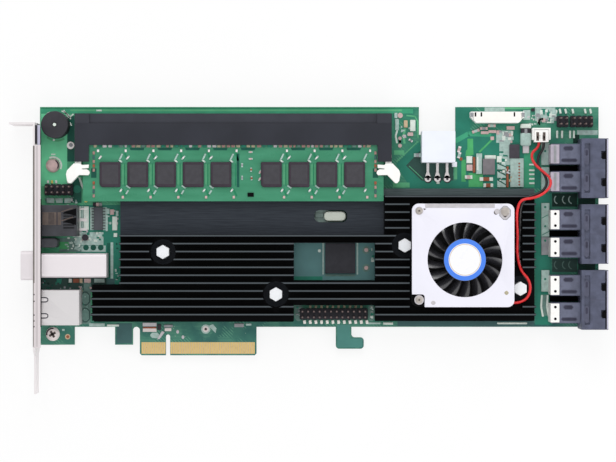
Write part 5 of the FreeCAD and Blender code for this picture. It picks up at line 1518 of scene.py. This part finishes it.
# %% Springs of the socket
bm = bmesh.new()
dice = random.Random(41)
strips_low, strips_high = span("socket_contacts")
x = strips_low[0]
while x < strips_high[0] - 1.4:
    length = dice.uniform(0.9, 1.9)
    paint = dice.choice(("rosy", "khaki", "teal", "rosy", "mist", "teal", "halo"))
    lump(bm, paint, x, x + length, strips_low[1], strips_high[1] + 0.3, dice.uniform(0.25, 0.6),
         base=deck)
    x += length + dice.uniform(0.4, 0.9)
painted_piece("socket_springs", bm, replaces=["socket_contacts"])

# %% [markdown]
# The last fine parts stand on the tall pieces. A screw head is a low dome, spun from a profile of
# four steps, with a cross-shaped recess that two crossed bars draw.

# %% Screw heads


def dome(bm, x, y, radius, low, height, paint, cross=0.0, turn=0.0):
    """A round screw head with a cross-shaped recess."""
    profile = [(radius, low), (radius, low + 0.35 * height), (0.75 * radius, low + 0.8 * height),
               (0.35 * radius, low + height), (0.0, low + height)]
    turned(bm, x, y, profile, steps=24, paint=paint_order.index(paint))
    half, arm = cross / 2, 0.16 * cross
    for angle in (turn, turn + 90):
        if cross > 0:
            lump(bm, "recess", x - half, x + half, y - arm, y + arm, 0.12, angle,
                 low + height - 0.08)


print("screw heads can be made")

# %% [markdown]
# The fan's cover is held by screws at three of its corners. One stands in a countersunk hole. Below
# another lies a broad eight-sided grey patch, which is the screw's painted shadow on the cover, and
# beside it stands a small post, whose dark crescent below is painted shadow too. A grey band along
# the cover's upper edge is painted shade on the ledge there. All are placed from the cover's corners,
# so that they stay on it if its size changes.

# %% Screws of the fan's cover
cover_low, cover_high = span("fan_cover")
cover_top, corner = cover_high[2], 3.2
bm = bmesh.new()
# painted shade: a grey band on the ledge along the cover's upper edge
area(bm, "halo", cover_low[0] + 5.8, cover_high[0] - 8.6, cover_high[1] - 1.9, cover_high[1] - 0.1,
     z=cover_top - 0.46)
screw_x, screw_y = cover_low[0] + corner, cover_high[1] - corner
dot(bm, "halo", screw_x, screw_y, 1.8, z=cover_top + 0.04, sides=20)
dome(bm, screw_x, screw_y, 1.5, cover_top, 0.8, "satin", cross=1.0, turn=60)
flat(bm, "recess", (screw_x + 1.8, screw_y + 1.1), (screw_x + 3.2, screw_y + 0.9),
     (screw_x + 2.2, screw_y + 0.3), z=cover_top + 0.04)
screw_x = cover_high[0] - corner
# painted shadow: a grey patch with a paler middle and a dark spot below the screw
pill(bm, "grey", screw_x - 3.4, screw_x + 1.6, screw_y - 4.0, screw_y + 2.2, cover_top + 0.05)
pill(bm, "halo", screw_x - 3.1, screw_x + 1.3, screw_y - 3.7, screw_y + 1.9, cover_top + 0.1)
dome(bm, screw_x - 0.9, screw_y - 0.4, 1.9, cover_top, 0.9, "satin")
flat(bm, "recess", (screw_x - 1.9, screw_y - 2.2), (screw_x + 0.1, screw_y - 2.2),
     (screw_x - 0.9, screw_y - 3.0), z=cover_top + 0.13)
# painted shadow: a dark crescent peeks out below the small post
dot(bm, "recess", screw_x - 4.9, screw_y - 0.7, 1.0, z=cover_top + 0.05, sides=16)
dot(bm, "halo", screw_x - 4.4, screw_y - 0.3, 1.2, z=cover_top + 0.08, sides=16)
screw_x, screw_y = cover_low[0] + corner, cover_low[1] + corner
dot(bm, "void", screw_x, screw_y, 2.5, z=cover_top - 0.5, sides=24)
dot(bm, "halo", screw_x, screw_y, 2.1, z=cover_top - 0.3, thick=0.4, sides=24)
dome(bm, screw_x, screw_y, 1.6, cover_top - 0.4, 0.6, "satin", cross=1.0, turn=10)
pill(bm, "khaki", cover_high[0] - 4.4, cover_high[0] - 2.6, cover_low[1] + 5.4, cover_low[1] + 7.2,
     cover_top + 0.05)
pill(bm, "halo", cover_low[0] + 8.4, cover_low[0] + 10.4, cover_low[1] + 1.0, cover_low[1] + 2.8,
     cover_top + 0.05)
painted_piece("cover_screws", bm, replaces=["fan_screws"])

# %% [markdown]
# Two pan-head screws clamp the bracket's tabs to the board. The lower one shows its cross, and a
# dark arc lies on each head where it turns away from the light. The same dome serves both, with
# other paints.

# %% Screws of the bracket
bm = bmesh.new()
for y in (72.2, -3.2):
    dome(bm, 5.8, y, 3.1, 0.0, 2.0, "pink" if y > 0 else "silver", cross=0.0 if y > 0 else 3.2,
         turn=30)
    arc(bm, "black", 5.8, y, 2.6, *((-30, 60) if y > 0 else (80, 190)), 0.6, z=1.7)
painted_piece("fixing_screws", bm, replaces=["bracket_screws"])

# %% [markdown]
# The serial jack has a smoked window and two wedge-shaped slots, the ribbon connector three slots
# and two metal ends, and the fan's plug two open contacts. The openings are flat dark shapes just
# above the plastic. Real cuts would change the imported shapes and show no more.

# %% Moulded details
jack_right, _, jack_top = span("serial_jack")[1]
ribbon_low, ribbon_high = span("ribbon_connector")
ribbon_top = ribbon_high[2]
plug_low, plug_high = span("fan_plug")
bm = bmesh.new()
for y in (47.4, 51.4):
    flat(bm, "void", (jack_right - 0.3, y - 1.9), (jack_right - 6.0, y - 0.2),
         (jack_right - 0.3, y + 1.5), z=jack_top + 0.04)
    strip(bm, "umber", (jack_right - 6.8, y), (jack_right - 1.6, y + 1.7), 0.4, z=jack_top + 0.05)
area(bm, "umber", 2.6, 10.8, 45.6, 51.2, z=jack_top + 0.02)
area(bm, "recess", 5.2, 7.8, 45.8, 51.0, z=jack_top + 0.03)
area(bm, "black", 8.8, 9.3, 45.2, 51.4, z=jack_top + 0.04)
for x in (ribbon_low[0] + 2.2, ribbon_low[0] + 4.8, ribbon_high[0] - 4.6):
    area(bm, "void", x - 0.3, x + 0.4, ribbon_high[1] - 2.2, ribbon_high[1] - 0.3,
         z=ribbon_top + 0.03)
area(bm, "ivory", ribbon_low[0] + 1.6, ribbon_high[0] - 1.6, ribbon_low[1] + 1.0,
     ribbon_high[1] - 0.3, z=ribbon_top + 0.02)
for x in (ribbon_low[0] + 0.6, ribbon_high[0] - 0.6):
    lump(bm, "grey", x - 0.6, x + 0.6, ribbon_high[1] - 2.4, ribbon_high[1] - 0.4, 0.2,
         base=ribbon_top - 0.15)
for x in (plug_low[0] + 1.5, plug_high[0] - 2.0):
    block(bm, "umber", x - 0.6, x + 0.6, plug_low[1] + 0.6, plug_high[1] - 1.0, plug_high[2] - 0.3,
          plug_high[2] + 0.15, bevel=0.1)
    area(bm, "void", x - 0.3, x + 0.3, plug_low[1] + 1.6, plug_low[1] + 2.6, z=plug_high[2] + 0.18)
painted_piece("moulded_details", bm)

# %% [markdown]
# Pins and legs go through the board, and each ends below it in a small cone of solder with the cut
# pin in its middle. The header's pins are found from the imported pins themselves: corners that lie
# closer than half a pitch belong to one pin.

# %% Solder joints of the headers
under = (board_low.z - board_high.z) / MM


def joint(bm, x, y, radius=0.8):
    """A cone of solder in two steps, with the end of the pin in its middle."""
    dot(bm, "silver", x, y, radius, z=under + 0.02, thick=0.25, sides=8)
    dot(bm, "silver", x, y, 0.65 * radius, z=under - 0.15, thick=0.35, sides=8)
    dot(bm, "satin", x, y, 0.3 * radius, z=under - 0.4, thick=0.45, sides=6)


bm = bmesh.new()
pins = {}
for vert in node["header_pins"].data.vertices:
    x, y, _ = (vert.co - place(0, 0)) / MM
    near = next((key for key in pins if math.dist(key, (x, y)) < PITCH / 2), (x, y))
    pins.setdefault(near, []).append((x, y))
for corners in pins.values():
    joint(bm, sum(x for x, y in corners) / len(corners), sum(y for x, y in corners) / len(corners))
print("header pins:", len(pins))

# %% [markdown]
# The socket has four long rows of pins, staggered by half their distance, and they need no more
# than a small dot each. The jacks, the inlet and the fan's plug have a few fat legs in one or two
# rows.

# %% Solder joints of the socket and the connectors
socket_pins = 0
for row, y in enumerate((socket_low[1] + 5.0, socket_low[1] + 7.5, socket_high[1] - 6.2,
                         socket_high[1] - 3.7)):
    x = socket_low[0] + 9.0 + row % 2
    while x < socket_high[0] - 9.0:
        dot(bm, "silver", x, y, 0.5, z=under + 0.02, thick=0.4, sides=6)
        x, socket_pins = x + 2.0, socket_pins + 1
for name, columns, rows, rim, radius in (
        ("network_jack_shield", 4, 2, 5.0, 0.7), ("external_port_cage", 5, 2, 2.0, 1.0),
        ("serial_jack", 3, 2, 3.0, 0.7), ("buzzer", 2, 1, 3.2, 0.8),
        ("power_connector", 3, 1, 4.6, 1.3), ("fan_plug", 3, 1, 1.2, 0.7)):
    low, high = span(name)
    for i in range(columns):
        for j in range(rows):
            x = low[0] + rim + (high[0] - low[0] - 2 * rim) * i / (columns - 1)
            y = low[1] + rim + (high[1] - low[1] - 2 * rim) * j if rows == 2 else middle(name)[1]
            if x > 0.8:
                joint(bm, x, y, radius)
painted_piece("solder_joints", bm)
print("socket pins:", socket_pins)

# %% [markdown]
# The card lies on a plain white floor. A part of the floor's white is its own light, for what the
# camera sees and for reflections only, so that the floor stays white, the card's shadow on it stays
# soft, and the card gets no more light from below.

# %% Floor
floor_height = cad_box[0][2]
floor_size = 3.0
own_light = 0.8
bm = bmesh.new()
bmesh.ops.create_grid(bm, x_segments=1, y_segments=1, size=floor_size,
                      matrix=Matrix.Translation((0, 0, floor_height)))
floor_mesh = bpy.data.meshes.new("floor")
bm.to_mesh(floor_mesh)
bm.free()
floor = bpy.data.objects.new("floor", floor_mesh)
bpy.context.scene.collection.objects.link(floor)
paper = Finish("floor_paper")
paper.colour(paper.ramp(paper.noise(60.0), (0.3, shade(252, 252, 252)),
                        (0.7, shade(255, 255, 255))))
paper.gloss(specular=0.1)
glow = paper.add("ShaderNodeEmission")
blend = paper.add("ShaderNodeMixShader")
share = paper.maths("MULTIPLY", paper.seen(), own_light)
paper.feed(blend, {0: share, 1: paper.shader.outputs[0], 2: glow.outputs[0]})
paper.link(blend.outputs[0], paper.tree.nodes["Material Output"].inputs["Surface"])
floor_mesh.materials.append(paper.material)
print("floor at", round(floor_height, 4))

# %% [markdown]
# A soft even sky lights the card from all sides. Its strength is plain for light on the card, and
# nearly 1, which is white, where the camera or a reflection sees it.

# %% Sky
sky_light, sky_extra = 0.66, 0.32
world = bpy.data.worlds.new("sky")
world.use_nodes = True
sky = Nodes(world.node_tree)
background = sky.tree.nodes["Background"]
background.inputs["Color"].default_value = (1.0, 1.0, 1.0, 1.0)
sky.link(sky.maths("MULTIPLY_ADD", sky.seen(), sky_extra, sky_light), background.inputs["Strength"])
bpy.context.scene.world = world
print("sky strength", sky_light, "and", sky_light + sky_extra, "where it is seen")

# %% [markdown]
# Three large square lamps stand round the card and aim at its middle. The upper one is the
# strongest, so that shadows fall softly towards the lower edge.

# %% Lamps


def softbox(name, position, power, size):
    data = bpy.data.lights.new(name, "AREA")
    data.shape = "SQUARE"
    data.size = size
    data.energy = power
    lamp = bpy.data.objects.new(name, data)
    lamp.location = position
    aim = Vector(camera.location) * Vector((1, 1, 0)) - Vector(position)
    lamp.rotation_euler = aim.to_track_quat("-Z", "Y").to_euler()
    bpy.context.scene.collection.objects.link(lamp)


softbox("upper_lamp", (0.0, 1.1, 0.9), 5.5, 0.9)
softbox("lower_lamp", (0.1, -0.9, 0.9), 3.5, 0.9)
softbox("side_lamp", (1.1, 0.1, 0.35), 3.0, 0.6)
bpy.context.scene.view_settings.view_transform = "Standard"
print("lamps:", len(bpy.data.lights))
